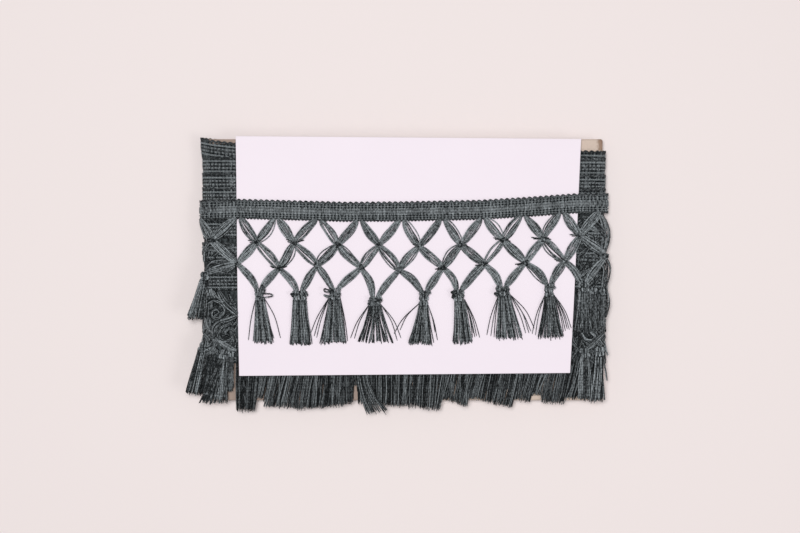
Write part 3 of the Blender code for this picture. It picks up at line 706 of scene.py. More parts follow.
def yarn_finish(settings):
    """Loose viscose yarn: plies twist round each yarn in the bump, and their glints are painted into the
    colour as flecks of painted highlight; the yarn's own tint sets how light it is."""
    known = bpy.data.materials.get("trim_yarn")
    if known:
        return known
    shader = Shader("trim_yarn", 0.4, specular=0.2, sheen=0.05)
    along, around, _ = shader.parts(shader.uv())
    tint = shader.tint()
    # Painted highlight and shade: short light and dark flecks along each yarn, where its twisted plies
    # would catch the light.
    painted_ply_glint = shader.noise(shader.joined(along * 480.0, around * 1.5, tint * 60.0), 1.0, 1.0, 0.5)
    filament = shader.noise(shader.joined(along * 180.0, around * 7.0, tint * 90.0), 1.0, 1.0)
    twist = (along * 2600.0 + around * (4 * math.pi)).sine()
    patches = shader.noise(shader.place(), 60.0, 2.0, 0.5)
    # Lightness from the yarn's tint, the painted ply highlights and patches of random tone.
    lightness = tint * 0.95 + painted_ply_glint * 1.7 + patches * 0.25 + (-1.07)
    colour = shader.colours(lightness, settings.dark, settings.light)
    roughness = filament * 0.3 + 0.27
    return shader.paint(colour, roughness, twist * 0.6 + filament, 0.16 * MM)


def ground_finish():
    """Woven ground under the headings' yarns: a fine basket of crossed threads, painted near black as
    painted shade in the gaps between the yarns.
    """
    shader = Shader("heading_ground", 0.8, specular=0.1)
    x, y, _ = shader.parts(shader.place())
    weave = (x * 2600.0).sine() * (y * 2600.0).sine()
    mottle = shader.noise(shader.place(), 300.0)
    # Near-black colours: painted shade where the ground shows between the weft bundles; the mottle is
    # random tone.
    colour = shader.colours(mottle, (0.004, 0.006, 0.007), (0.016, 0.021, 0.023))
    return shader.paint(colour, None, weave + mottle, 0.15 * MM)


def pile_finish():
    """Deep layers of the trim: yarn with long streaks down the bolt, painted near black as painted shade
    under the turns.
    """
    shader = Shader("deep_yarn", 0.75, specular=0.15)
    x, y, z = shader.parts(shader.place())
    streak = shader.noise(shader.joined(x * 600.0, y * 110.0, z * 600.0), 1.0, 2.0, 0.6)
    clump = shader.noise(shader.place(), 160.0, 3.0)
    lightness = streak * 2.6 + clump * 1.2 + (-1.6)
    # From near black to a dim teal: painted shade of the deep layers; the streaks and clumps are the yarn's
    # own.
    colour = shader.colours(lightness, (0.002, 0.003, 0.0035), (0.085, 0.100, 0.106))
    return shader.paint(colour, None, streak + clump, 0.5 * MM)


def paper_finish():
    """Smooth blank paper: a faint cloud of pulp and a very fine tooth."""
    shader = Shader("blank_paper", 0.62)
    cloud = shader.noise(shader.place(), 22.0, 3.0)
    tooth = shader.noise(shader.place(), 2600.0, 2.0)
    colour = shader.colours(cloud, (0.880, 0.790, 0.862), (0.905, 0.817, 0.889))
    return shader.paint(colour, tooth * 0.1 + 0.56, tooth, 0.02 * MM)


def board_finish():
    """Fibreboard: soft mottle and short fibres, paler at the right, with a torn patch at the top
    right corner where the face layer has come off."""
    shader = Shader("fibreboard", 0.85)
    place = shader.place()
    x, y, _ = shader.parts(place)
    mottle = shader.noise(place, 90.0, 4.0, 0.65)
    fibre = shader.noise(shader.stretched(place, (900.0, 160.0, 900.0)), 1.0, 3.0, 0.6)
    ragged = shader.noise(place, 260.0, 3.0, 0.7)
    side = (x + mottle * (20 * MM)).above(20 * MM, 60 * MM)
    ground = shader.colours(side, (0.41, 0.305, 0.255), (0.72, 0.58, 0.49))
    worn = shader.colours(mottle * 0.3 + fibre * 0.15, ground, (0.30, 0.24, 0.20))
    past_x = (x + ragged * (9 * MM)).above(180 * MM, 1.5 * MM)
    past_y = (y + ragged * (7 * MM)).above(113 * MM, 1.5 * MM)
    torn = past_x * past_y
    bared = shader.colours(ragged, (0.17, 0.095, 0.060), (0.45, 0.31, 0.23))
    colour = shader.colours(torn, worn, bared)
    return shader.paint(colour, mottle * 0.15 + 0.75, mottle * 0.6 + fibre * 0.4 - torn * 0.6, 0.25 * MM)


def floor_finish(colour):
    """Plain pale floor with an almost invisible cloud, so that it isn't one flat tone."""
    shader = Shader("plain_floor", 0.9)
    cloud = shader.noise(shader.place(), 3.0)
    deeper = tuple(part * 0.99 for part in colour)
    return shader.paint(shader.colours(cloud, colour, deeper))


# Rows of warp stitches, as shares of half the heading's height.
STITCHED_ROWS = (-0.55, 0.55)
STRIP_ROWS = (-0.56, -0.2, 0.16, 0.5)
# How one bundle of the heading's weft runs from its foot to its top: the place up the tape, its
# height over the ground and how far its yarns spread. It is pinched at the four stitched rows.
WEFT_PROFILE = (
    # share of half the height, lift share, spread
    (-0.94, 0.20, 0.70),
    (-0.80, 0.60, 0.85),
    (-0.67, 0.24, 0.30),
    (-0.55, 0.66, 0.74),
    (-0.43, 0.24, 0.30),
    (-0.28, 0.74, 0.97),
    (0.0, 0.84, 1.0),
    (0.28, 0.74, 0.97),
    (0.43, 0.24, 0.30),
    (0.55, 0.66, 0.74),
    (0.67, 0.24, 0.30),
    (0.80, 0.60, 0.85),
    (0.92, 0.30, 0.70),
)


def weft(piece, place, span, per_bundle, thick, radius, rng, shade, profile=WEFT_PROFILE):
    """Bundles of yarn that run up the tape every stitch pitch. A yarn stands at the bundle's middle
    plus its own offset times the spread of the profile, and is lifted as the profile says."""
    start, stop = span
    rows = np.array(profile)
    bundles = int(round((stop - start) / STITCH_PITCH))
    middles = start + (np.arange(bundles) + 0.5) * STITCH_PITCH
    offsets = (np.arange(per_bundle) + 0.5) / per_bundle - 0.5
    width = STITCH_PITCH * 1.02
    along = middles[:, None, None] + offsets[None, :, None] * rows[None, None, :, 2] * width
    along = along + rng.normal(0, 0.05 * MM, along.shape)
    across = np.broadcast_to(rows[:, 0] * HEADING_HIGH / 2, along.shape)
    crown = 1 - offsets**2
    lift = thick * rows[:, 1] * crown[None, :, None] + rng.normal(0, 0.04 * MM, along.shape)
    paths = place(along, across, lift).reshape(-1, len(rows), 3)
    tint = shade + rng.normal(0, 0.07, bundles).repeat(per_bundle) + rng.uniform(-0.12, 0.12, len(paths))
    piece.yarns(paths, radius, 3, upright=(1.0, 0.0, 0.3), tint=tint)


def stitches(piece, place, span, rows, thick, radius, steps, rng, sides=4, sways=(0.12,), shade=0.5):
    """Warp threads along the tape: each rises over the bundles and dips between them, as a cosine
    with the stitch pitch, and sways across by so many millimetres; two opposite sways make a chain."""
    start, stop = span
    count = int(round((stop - start) / STITCH_PITCH)) * steps
    along = np.linspace(start, stop, count + 1)
    phase = 2 * math.pi * (along - start) / STITCH_PITCH
    for share in rows:
        for sway in sways:
            across = share * HEADING_HIGH / 2 + sway * MM * np.sin(phase)
            lift = thick * (0.56 - 0.38 * np.cos(phase))
            path = place(along, across, lift)[None]
            piece.yarns(path, radius, sides, upright=(0.0, 1.0, 0.0), tint=shade + rng.uniform(0, 0.25))


def edge_loops(piece, place, span, pitch, low, high, thick, radius, steps, rng, sides=4):
    """A looped cord along an edge: its place across goes from low to high, as shares of half the
    height, with |sin|, and it leans a little as a twisted cord does."""
    start, stop = span
    count = int(round((stop - start) / pitch)) * steps
    along = np.linspace(start, stop, count + 1)
    phase = math.pi * (along - start) / pitch
    arch = np.abs(np.sin(phase)) ** 0.55
    along = along + 0.07 * pitch * np.sin(2 * phase + 0.6)
    across = mix(low, high, arch) * HEADING_HIGH / 2
    lift = thick * (0.25 + 0.5 * arch) + 0.12 * MM * np.cos(2 * phase)
    tint = rng.uniform(0.05, 0.3)
    piece.yarns(place(along, across, lift)[None], radius, sides, upright=(0.0, 1.0, 0.2), tint=tint)


# Across as a share of half the height, and height as a share of the thickness.
TAPE_SECTION = (
    (-0.88, 0.0), (-0.93, 0.5), (-0.86, 1.0), (-0.4, 1.0), (0.4, 1.0),
    (0.84, 1.0), (0.90, 0.5), (0.86, 0.0), (0.4, 0.0), (-0.4, 0.0),
)


def tape(piece, place, start, stop, steps, thick, closed, tint=0.2):
    """The woven ground: a flat section with rounded edges carried along the heading."""
    section = np.array(TAPE_SECTION)
    along = np.linspace(start, stop, steps, endpoint=not closed)[:, None]
    piece.rings(place(along, section[:, 0] * HEADING_HIGH / 2, section[:, 1] * thick), tint, closed)


def lens_bundle(
    rng, control, half_width, yarns, samples, split=False, loose=0, end_half=LENS_END_HALF_WIDTH, waves=1.0
):
    """Yarns side by side along a smooth curve: each keeps its share of the width, which swells from
    both ends as sin(pi t) to the power 0.65. A split bundle leaves a gap off its middle, and a loose
    yarn on the side of that sign bows further out. Each yarn sways that many waves. Returns x, y and
    the rise over what it lies on, each (yarns, samples)."""
    line = through(control, samples)
    step = np.gradient(line, axis=0)
    step /= np.linalg.norm(step, axis=1, keepdims=True)
    t = np.linspace(0, 1, samples)
    swell = np.sin(math.pi * np.clip(t, 0.001, 0.999) ** rng.uniform(0.8, 1.25)) ** 0.65
    width = mix(end_half, half_width, swell)
    share = np.linspace(-1, 1, yarns)
    if split:
        share = np.where(share < -0.4, share * 1.12, mix(0.02, 1.1, (share + 0.4) / 1.4))
    share = share + rng.normal(0, 0.05, yarns)
    bow = np.zeros((yarns, 1))
    if loose:
        bow[0 if loose < 0 else -1] = loose * rng.uniform(1.3, 1.9) * MM
    offset = share[:, None] * width[None] + (bow + rng.normal(0, 0.08 * MM, (yarns, 1))) * swell[None]
    phase = 2 * math.pi * (waves * t[None] + rng.uniform(0, 1, (yarns, 1)))
    offset = offset + SWAY * np.sin(phase) * swell[None]
    x = line[None, :, 0] - offset * step[None, :, 1]
    y = line[None, :, 1] + offset * step[None, :, 0]
    crown = 1 - 0.5 * np.minimum(np.abs(share[:, None]), 1) ** 2
    pile_up = rng.uniform(0.0, 0.5, (yarns, 1)) * MM
    rise = 0.4 * MM + crown * mix(1.0, 0.7, swell[None]) * MM + pile_up
    return x, y, rise


def knot_path(radius, high, turn, samples=30):
    """A closed trefoil, scaled and turned: x = sin t + 2 sin 2t, y = cos t - 2 cos 2t and a height of
    -sin 3t."""
    t = np.linspace(0, 2 * math.pi, samples)
    x = (np.sin(t) + 2 * np.sin(2 * t)) * radius / 3
    y = (np.cos(t) - 2 * np.cos(2 * t)) * radius / 3
    z = high * (0.5 - 0.5 * np.sin(3 * t))
    return x * math.cos(turn) - y * math.sin(turn), x * math.sin(turn) + y * math.cos(turn), z


def add_knot(piece, place, x, y, rng, radius=2.6 * MM, high=2.0 * MM, yarn=0.78 * MM):
    """A pulled knot: a thick trefoil with a smaller one over it."""
    for size, lift in ((1.0, 0.5 * MM), (0.66, 1.2 * MM)):
        dx, dy, dz = knot_path(radius * size, high * size, rng.uniform(0, 6.28))
        path = place(x + dx, y + dy, dz + lift)[None]
        piece.yarns(path, yarn, 5, tint=rng.uniform(0.1, 0.45))


def tassel_head(piece, place, x, top, wide, high, thick, rows, rng, slope=0.0):
    """A tied head: rows of upright loops of thick yarn stand side by side round an oval, each bowed
    out at its middle, over a solid core, with a thin tie sunk between the rows."""
    core_t = np.linspace(0, 1, 7)[None]
    core_radius = thick / 2 - 0.9 * MM
    core_x = x + slope * high * core_t + np.array((-0.5, 0.0, 0.5))[:, None] * (wide - 4 * core_radius)
    core = place(*np.broadcast_arrays(core_x, top - high * core_t, thick / 2))
    piece.yarns(core, core_radius * (1 - 0.25 * (2 * core_t - 1) ** 2), 6, tint=0.05)
    row_high = high / rows
    bow = np.sin(math.pi * np.linspace(0.0, 1.0, 7))[None]
    for row in range(rows):
        loops = max(7, int(round(wide / (1.15 * MM)))) + row % 2
        angle = 2 * math.pi * (np.arange(loops) + rng.uniform(0, 1)) / loops
        angle = (angle + rng.normal(0, 0.08, loops))[:, None]
        half = (wide / 2 - 0.5 * MM) * rng.uniform(0.9, 1.04) * (0.9 if row else 1.0)
        shift = rng.uniform(-0.7, 0.7) * MM
        t = np.linspace(-0.06, 1.02, 7)[None]
        reach = mix(0.66, 1.0, bow)
        dx = half * reach * np.cos(angle) + shift + rng.normal(0, 0.3 * MM, (loops, 1)) * t
        drop = high * row / rows + row_high * t + rng.normal(0, 0.25 * MM, (loops, 1))
        dz = thick / 2 + (thick / 2 - 0.55 * MM) * mix(0.7, 1.0, bow) * np.sin(angle)
        tint = rng.uniform(0.25, 0.9, loops)
        piece.yarns(place(x + slope * drop + dx, top - drop, dz), 0.85 * MM, 5, tint=tint)
        around = np.linspace(0, 2 * math.pi, 21)
        ring_x = x + slope * drop[0, -1] + shift + half * 0.82 * np.cos(around)
        ring_y = top - high * (row + 1) / rows + rng.uniform(-0.08, 0.08) * half * np.cos(around)
        ring_z = thick / 2 + (thick / 2 - 0.8 * MM) * np.sin(around)
        piece.yarns(place(ring_x, ring_y, ring_z)[None], 0.6 * MM, 5, upright=(0.0, 1.0, 0.0), tint=0.1)


def tassel_strands(
    piece, place, head, end, thick, count, radius, rng, tints, samples=11, sides=4, locks=0
):
    """Cut yarns below a head. A yarn's place across goes from its share of the head's width to its
    share of the end's width as t to the power 1.2, with a slow wave that grows towards its end.
    With locks the yarns gather into that many, with gaps between them."""
    x, y_top, wide = head
    end_x, end_y, end_wide = end
    t = np.linspace(0, 1, samples)[None]
    share = np.sort(rng.uniform(-1, 1, count))[:, None]
    deep = rng.uniform(0, 1, (count, 1))
    mixed = share + rng.normal(0, 0.10, (count, 1))
    if locks:
        middles = (np.arange(locks) + 0.5) / locks * 2 - 1 + rng.normal(0, 0.25 / locks, locks)
        nearest = np.argmin(np.abs(share - middles[None]), axis=1)
        mixed = middles[nearest][:, None] + rng.normal(0, 0.24 / locks, (count, 1))
    cut = end_y + rng.normal(0, 1.1 * MM, (count, 1)) - 0.8 * MM * rng.uniform(0, 1, (count, 1)) ** 6
    y = mix(y_top, cut, t)
    spread = mix(share * wide / 2 * 0.86, mixed * end_wide / 2, t**1.2)
    sway = rng.normal(0, 0.55 * MM, (count, 1))
    wave = sway * np.sin(math.pi * (t * rng.uniform(0.8, 1.8, (count, 1))))
    px = mix(x, end_x, t) + spread + wave * t
    shell = np.sqrt(np.clip(1 - share**2, 0.05, 1))
    near = thick * (0.5 + (deep - 0.5) * shell * 0.92)
    far = mix(0.5 * MM, thick * 0.55, deep)
    rise = mix(near, far, t**0.8) + 0.15 * MM * np.sin(6 * t + 6.28 * deep)
    # Strands that lie lower in the bundle are darker, down to six tenths of their tint: painted shade under
    # the strands above.
    tint = rng.uniform(tints[0], tints[1], count) * mix(0.6, 1.0, deep[:, 0])
    piece.yarns(place(px, y, rise), radius, sides, tint=tint)


class TRIM_OT_stage(bpy.types.Operator):
    """Adds the floor, the soft light and the camera that looks straight down"""

    bl_idname = "trim.stage"
    bl_label = "Stage"

    def execute(self, context):
        settings = context.scene.trim_stage
        scene = context.scene
        scene.view_settings.view_transform = "Standard"
        self.add_floor(settings)
        self.add_sky(scene, settings.sky)
        self.add_lamp("lamp_over", (-0.25, 0.25, 2.7), 0.9, settings.lamp)
        self.add_lamp("lamp_side", (1.3, -0.6, 1.6), 0.8, settings.lamp * 0.10)
        self.add_camera(scene)
        return {"FINISHED"}

    def add_floor(self, settings):
        """One flat face, far wider than the view."""
        reach = 3.0
        mesh = bpy.data.meshes.new("floor")
        corners = [(-reach, -reach, 0), (reach, -reach, 0), (reach, reach, 0), (-reach, reach, 0)]
        mesh.from_pydata(corners, [], [(0, 1, 2, 3)])
        mesh.materials.append(floor_finish(tuple(settings.floor)))
        floor = bpy.data.objects.new("floor", mesh)
        bpy.context.scene.collection.objects.link(floor)

    def add_sky(self, scene, strength):
        world = bpy.data.worlds.new("soft_sky")
        world.use_nodes = True
        background = world.node_tree.nodes["Background"]
        background.inputs["Color"].default_value = (1.0, 0.99, 0.985, 1.0)
        background.inputs["Strength"].default_value = strength
        scene.world = world

    def add_lamp(self, name, place, size, power):
        """A square soft lamp that faces the middle of the bolt."""
        light = bpy.data.lights.new(name, "AREA")
        light.size = size
        light.energy = power
        lamp = bpy.data.objects.new(name, light)
        lamp.location = place
        x, y, z = (VIEW_CENTRE[axis] - place[axis] for axis in range(3))
        lamp.rotation_euler = (math.atan2(math.hypot(x, y), -z), 0, math.atan2(-x, y))
        bpy.context.scene.collection.objects.link(lamp)

    def add_camera(self, scene):
        """Straight down over the bolt's middle, far enough away to see the photograph's width."""
        data = bpy.data.cameras.new("view_from_above")
        data.lens = LENS_LENGTH_MM
        data.sensor_width = SENSOR_MM
        data.clip_end = 20.0
        camera = bpy.data.objects.new("view_from_above", data)
        distance = VIEW_WIDTH * LENS_LENGTH_MM / SENSOR_MM
        camera.location = (VIEW_CENTRE[0], VIEW_CENTRE[1], VIEW_CENTRE[2] + distance)
        scene.collection.objects.link(camera)
        scene.camera = camera


class TRIM_OT_board(bpy.types.Operator):
    """Gives the board its fibreboard finish"""

    bl_idname = "trim.board"
    bl_label = "Board"

    def execute(self, context):
        board = bpy.data.objects["board"]
        finish = board_finish()
        board.data.materials.clear()
        board.data.materials.append(finish)
        for slot in board.material_slots:
            slot.material = finish
        return {"FINISHED"}


class TRIM_OT_paper_sheet(bpy.types.Operator):
    """Lays the blank paper sheet over the pile"""

    bl_idname = "trim.paper_sheet"
    bl_label = "Paper sheet"

    def execute(self, context):
        """The sheet is a blend of its four corners, laid over the pile's crown, as rows of closed
        sections that go across its top and back under it."""
        corners = np.array(SHEET_CORNERS_MM) * MM
        inner = np.linspace(2 * SHEET_RIM, 1 - 2 * SHEET_RIM, SHEET_STEPS - 4)
        across = np.concatenate(((0, SHEET_RIM), inner, (1 - SHEET_RIM, 1)))
        down = across[:, None]
        both_ways = np.concatenate((across, across[::-1]))
        top = mix(corners[0], corners[1], both_ways[:, None])
        foot = mix(corners[3], corners[2], both_ways[:, None])
        plan = mix(top[None], foot[None], down[:, :, None])
        x, y = plan[..., 0], plan[..., 1]
        thick = np.concatenate((np.full(SHEET_STEPS, SHEET_THICK), np.zeros(SHEET_STEPS)))
        lifted = 1.2 * MM * np.clip((y - 95 * MM) / (23 * MM), 0, 1) ** 2
        ripple = 0.25 * MM * np.sin(x * 21.0 + 1.3) * np.clip((y - 60 * MM) / (60 * MM), 0, 1)
        points = on_front(x, y, SHEET_RISE + thick + lifted + ripple)
        piece = Piece()
        piece.rings(points[:, ::-1], 0.5, closed=False)
        piece.finish("paper_sheet", paper_finish(), "paper", ("display_sheet",))
        return {"FINISHED"}


def turn_place(turn, tilt):
    """Where a wound turn lies: its middle line slopes from its left end to its right one, and its
    top edge is tilted up on to the turn above it."""
    name, left, right = turn
    corner = TURN_RUN - 26 * MM

    def place(along, across, rise):
        middle = mix(left, right, share_across(along)) * MM
        if name == "a":
            near = np.exp(-(((along - corner) / TOP_TURN_HITCH_RUN) ** 2))
            middle = middle + TOP_TURN_HITCH * near
            rise = rise + TOP_TURN_BULGE * near
        leaned = tilt * across / (HEADING_HIGH / 2)
        return round_the_bolt(along, middle + across, rise + leaned)

    return place


class TRIM_OT_wound_pile(bpy.types.Operator):
    """Builds the deep dark layers of the wound turns"""

    bl_idname = "trim.wound_pile"
    bl_label = "Wound pile"

    def execute(self, context):
        """A closed ring: its outside lies just under the turns with lumps of crossed sines, and its
        inside goes down to the board."""
        along = np.linspace(0, TURN_RUN, 220, endpoint=False)[:, None]
        share = np.linspace(0, 1, 54)[None]
        top = mix(TURNS_MM[0][1], TURNS_MM[0][2], share_across(along)) * MM + HEADING_HIGH * 0.42
        y = mix(top, PILE_FOOT, share)
        lump = np.sin(along * 352 + y * 210) * np.sin(along * 190 - y * 330)
        rise = -0.9 * MM + 0.45 * MM * lump
        rise = rise - 1.6 * MM * (1 - eased(share * 12)) - 1.0 * MM * (1 - eased((1 - share) * 12))
        outside = round_the_bolt(along, y, rise)
        inside = outside[:, [-1, 0]].copy()
        middle = np.array((BOARD_X, 0.0, BOARD_Z))
        reach = np.array((175.6 * MM, 0.0, BOARD_THICK / 2 + CLEAR))
        for axis in (0, 2):
            offset = inside[:, :, axis] - middle[axis]
            inside[:, :, axis] = middle[axis] + np.clip(offset, -reach[axis], reach[axis])
        piece = Piece()
        piece.rings(np.concatenate((outside, inside), axis=1))
        piece.finish("wound_pile", pile_finish(), "wound_yarn", ("wound_turns",))
        return {"FINISHED"}


class TRIM_OT_wound_headings(bpy.types.Operator):
    """Winds the eight lower turns of the heading round the board"""

    bl_idname = "trim.wound_headings"
    bl_label = "Wound headings"

    def execute(self, context):
        settings = context.scene.trim_yarn
        finish = yarn_finish(settings)
        rng = np.random.default_rng(settings.seed)
        ground = Piece()
        strip_end = FRONT_RUN + END_RUN
        back_end = strip_end + BACK_RUN
        coarse = [row for row in WEFT_PROFILE if abs(row[0]) not in (0.28, 0.80)]
        for turn in TURNS_MM:
            place = turn_place(turn, 0.55 * MM)

            def sunk(along, across, rise, base=place):
                return base(along, across, rise - 0.85 * MM)

            tape(ground, sunk, 0, TURN_RUN, 170, 0.5 * MM, True)
            piece = Piece()

            def raised(along, across, lift, base=place):
                return base(along, across, lift * 0.62 - 0.55 * MM)

            thick = 1.5 * MM
            shown, back = (SHOWN_FROM, SHOWN_TO), (strip_end, back_end)
            weft(piece, raised, back, 2, thick, 0.62 * MM, rng, 0.36, coarse)
            stitches(piece, raised, back, STITCHED_ROWS, thick, 0.34 * MM, 4, rng, 3)
            for strip in ((SHOWN_FROM, strip_end), (back_end, SHOWN_TO)):
                weft(piece, raised, strip, 3, thick, 0.48 * MM, rng, 0.2)
                over = thick + 0.3 * MM
                stitches(piece, raised, strip, STRIP_ROWS, over, 0.42 * MM, 5, rng, 3, (-0.6, 0.6), 0.8)
                edge_loops(piece, raised, strip, LOOP_PITCH, 0.68, 0.90, thick, 0.50 * MM, 6, rng)
            edge_loops(piece, raised, shown, LOOP_PITCH, 0.74, 0.99, thick, 0.52 * MM, 6, rng)
            edge_loops(piece, raised, shown, STITCH_PITCH, -0.84, -0.98, thick, 0.40 * MM, 4, rng, 3)
            piece.finish("wound_heading_" + turn[0], finish, "wound_yarn")
        base = ground.finish("wound_tape", ground_finish(), "wound_yarn")
        return {"FINISHED"}


class TRIM_OT_front_heading(bpy.types.Operator):
    """Weaves the heading of the last turn, over the sheet"""

    bl_idname = "trim.front_heading"
    bl_label = "Front heading"

    def execute(self, context):
        settings = context.scene.trim_yarn
        rng = np.random.default_rng(settings.seed + 1)
        reach = HEADING_REACH

        def place(along, across, lift):
            middle = line_at(HEADING_LINE_MM, along)
            return on_front(along, middle + across, rise_of_last_turn(along, HEADING_ON_PILE) + lift)

        thick = 1.75 * MM
        ground = Piece()
        tape(ground, place, -reach, reach, 260, 0.55 * MM, False)
        yarns = Piece()
        span = (-reach, reach)
        weft(yarns, place, span, 4, thick, 0.42 * MM, rng, 0.56)
        stitches(yarns, place, span, STITCHED_ROWS, thick, 0.32 * MM, 6, rng)
        for low, high in ((0.76, 1.03), (0.70, 0.94), (0.66, 0.86)):
            edge_loops(yarns, place, span, LOOP_PITCH, low, high, thick, 0.46 * MM, 10, rng, 5)
        for low, high in ((-0.84, -1.0), (-0.78, -0.92)):
            edge_loops(yarns, place, span, STITCH_PITCH, low, high, thick, 0.38 * MM, 8, rng)
        finish = yarn_finish(settings)
        top = yarns.finish("front_heading_yarns", finish, "heading_yarn", ("front_heading",))
        base = ground.finish("front_tape", ground_finish(), "heading_yarn")
        return {"FINISHED"}


class TRIM_OT_front_net(bpy.types.Operator):
    """Knots the net of the last turn"""

    bl_idname = "trim.front_net"
    bl_label = "Front net"

    def execute(self, context):
        settings = context.scene.trim_yarn
        rng = np.random.default_rng(settings.seed + 2)
        piece = Piece()
        upper = np.array(UPPER_KNOTS_MM) * MM
        lower = np.array(LOWER_KNOTS_MM) * MM
        heads = EDGE_TASSELS_MM[:1] + TASSELS_MM
        for number, knot in enumerate(upper):
            for side, lean in ((0, ARM_LEAN), (1, -ARM_LEAN)):
                x = ROOTS_X_MM[number + side] * MM + lean
                root = np.array((x, line_at(HEADING_LINE_MM, x) - HEADING_HIGH / 2 + 1.0 * MM))
                self.add_arm(piece, rng, root, knot, ("upper", number, side), settings.radius)
        for number, knot in enumerate(lower):
            for above in (number, number + 1):
                if above < len(upper):
                    name = ("lower", number, above - number)
                    self.add_arm(piece, rng, upper[above], knot, name, settings.radius)
            for side, (_, head_x, head_top, *_) in zip((1, -1), heads[number : number + 2]):
                end = np.array((head_x * MM + side * ARM_LEAN, (head_top - 0.8) * MM))
                bow = (LOW_ARM_BOW if side < 0 else -LOW_ARM_BOW / 2) * rng.uniform(0.7, 1.3)
                self.add_arm(piece, rng, knot, end, ("tassel", number, side), settings.radius, 0.84, bow)
        for x, y in np.concatenate((upper, lower)):
            add_knot(piece, on_last_turn, x, y, rng)
        self.add_tags(piece, rng, np.concatenate((upper, lower)))
        piece.finish("front_net_yarns", yarn_finish(settings), "net_yarn", ("front_net",))
        return {"FINISHED"}

    def add_arm(self, piece, rng, start, end, name, radius, share=1.0, bow=0.0):
        """A leaf-shaped bundle of loose yarns, bowed a little to one side."""
        along = end - start
        bow = bow + rng.uniform(-0.8, 0.8) * MM
        middle = (start + end) / 2 + bow * np.array((-along[1], along[0])) / np.linalg.norm(along)
        half_width = LENS_HALF_WIDTH * share * rng.uniform(0.88, 1.04)
        loose = int(rng.choice((-1, 1))) if name in LOOSE_ARMS else 0
        split = name in SPLIT_ARMS
        yarns = 6
        x, y, rise = lens_bundle(rng, (start, middle, end), half_width, yarns, 12, split, loose)
        thick = radius * rng.uniform(1.1, 1.25)
        # The top yarns' tints are lifted as painted light, for the light that the paper throws back on to
        # the net.
        piece.yarns(on_last_turn(x, y, rise), thick, 4, tint=rng.uniform(0.42, 0.86, yarns))
        # The yarns beneath them are darker: painted shade under the top yarns.
        x, y, rise = lens_bundle(rng, (start, middle, end), half_width * 0.8, 4, 9, split, 0)
        piece.yarns(on_last_turn(x, y, rise - 0.55 * MM), thick * 1.3, 3, tint=rng.uniform(0.0, 0.35, 4))

    def add_tags(self, piece, rng, knots):
        """Two short cut ends stick out of a knot towards each listed tip."""
        for tip in np.array(TAG_TIPS_MM) * MM:
            knot = knots[np.argmin(np.linalg.norm(knots - tip, axis=1))]
            toward = (tip - knot) / np.linalg.norm(tip - knot)
            aside = np.array((-toward[1], toward[0]))
            for offset, shorter in ((-0.4, 0.0), (0.4, 1.8)):
                bend = rng.uniform(-0.6, 0.6) * MM
                reach = tip + aside * offset * 1.4 * MM - toward * shorter * MM
                middle = (knot + tip) / 2 + aside * (offset * MM + bend)
                line = through((knot, middle, reach), 8)
                rise = np.linspace(2.2, 1.0, 8) * MM
                path = on_last_turn(line[:, 0], line[:, 1], rise)[None]
                piece.yarns(path, 0.55 * MM, 5, tint=rng.uniform(0.0, 0.2))


class TRIM_OT_tassels(bpy.types.Operator):
    """Ties the nine tassels of the last turn"""

    bl_idname = "trim.tassels"
    bl_label = "Tassels"

    def execute(self, context):
        settings = context.scene.trim_yarn
        finish = yarn_finish(settings)

        def on_head(x, y, lift):
            return on_last_turn(x, y, lift + 2.2 * MM)

        for number, (name, *sizes, rows, strands, locks, darkest) in enumerate(TASSELS_MM, 1):
            rng = np.random.default_rng(settings.seed + 10 + number)
            x, top, wide, high, end_x, end_y, end_wide = (value * MM for value in sizes)
            piece = Piece()
            thick = TASSEL_THICK
            slope = (end_x - x) / (top - end_y)
            tassel_head(piece, on_last_turn, x, top, wide, high, thick, rows, rng, slope)
            foot_x = x + slope * high
            head = (foot_x, top - high * 0.9, wide)
            end = (end_x, end_y, end_wide)
            tints = (darkest, darkest + TINT_RANGE)
            yarn = settings.radius * 0.95
            tassel_strands(piece, on_last_turn, head, end, thick, strands, yarn, rng, tints, locks=locks)
            for owner, places in HEAD_LOOPS_MM:
                if owner == number:
                    line = through(np.array(places) * MM, 6 * len(places))
                    rise = thick + 0.3 * MM * np.sin(np.linspace(0, 3 * math.pi, len(line)))
                    path = on_last_turn(line[:, 0], line[:, 1], rise)[None]
                    piece.yarns(path, 0.62 * MM, 5, tint=rng.uniform(0.1, 0.6))
            for owner, middles in HEAD_KNOBS_MM:
                if owner == number:
                    for knob_x, knob_y in np.array(middles) * MM:
                        add_knot(piece, on_head, knob_x, knob_y, rng, 1.7 * MM, 1.5 * MM, 0.6 * MM)
            for owner, tips in STRAYS_MM:
                if owner == number:
                    self.add_strays(piece, rng, head, tips, settings.radius * 0.78)
            piece.finish(name + "_yarns", finish, "tassel_yarn", (name,))
        return {"FINISHED"}

    def add_strays(self, piece, rng, head, tips, radius):
        """Single yarns that leave the head's foot at its side and bend out to their tips."""
        x, y, wide = head
        for tip_x, tip_y in np.array(tips) * MM:
            side = math.copysign(1, tip_x - x)
            root = (x + side * wide * 0.40, y + 1.0 * MM)
            middle = (mix(root[0], tip_x, 0.64), mix(root[1], tip_y, 0.5 + rng.uniform(-0.04, 0.04)))
            line = through((root, middle, (tip_x, tip_y)), 12)
            rise = np.linspace(2.0, 0.5, 12) * MM
            path = on_last_turn(line[:, 0], line[:, 1], rise)[None]
            piece.yarns(path, radius, 4, tint=rng.uniform(0.0, 0.4))


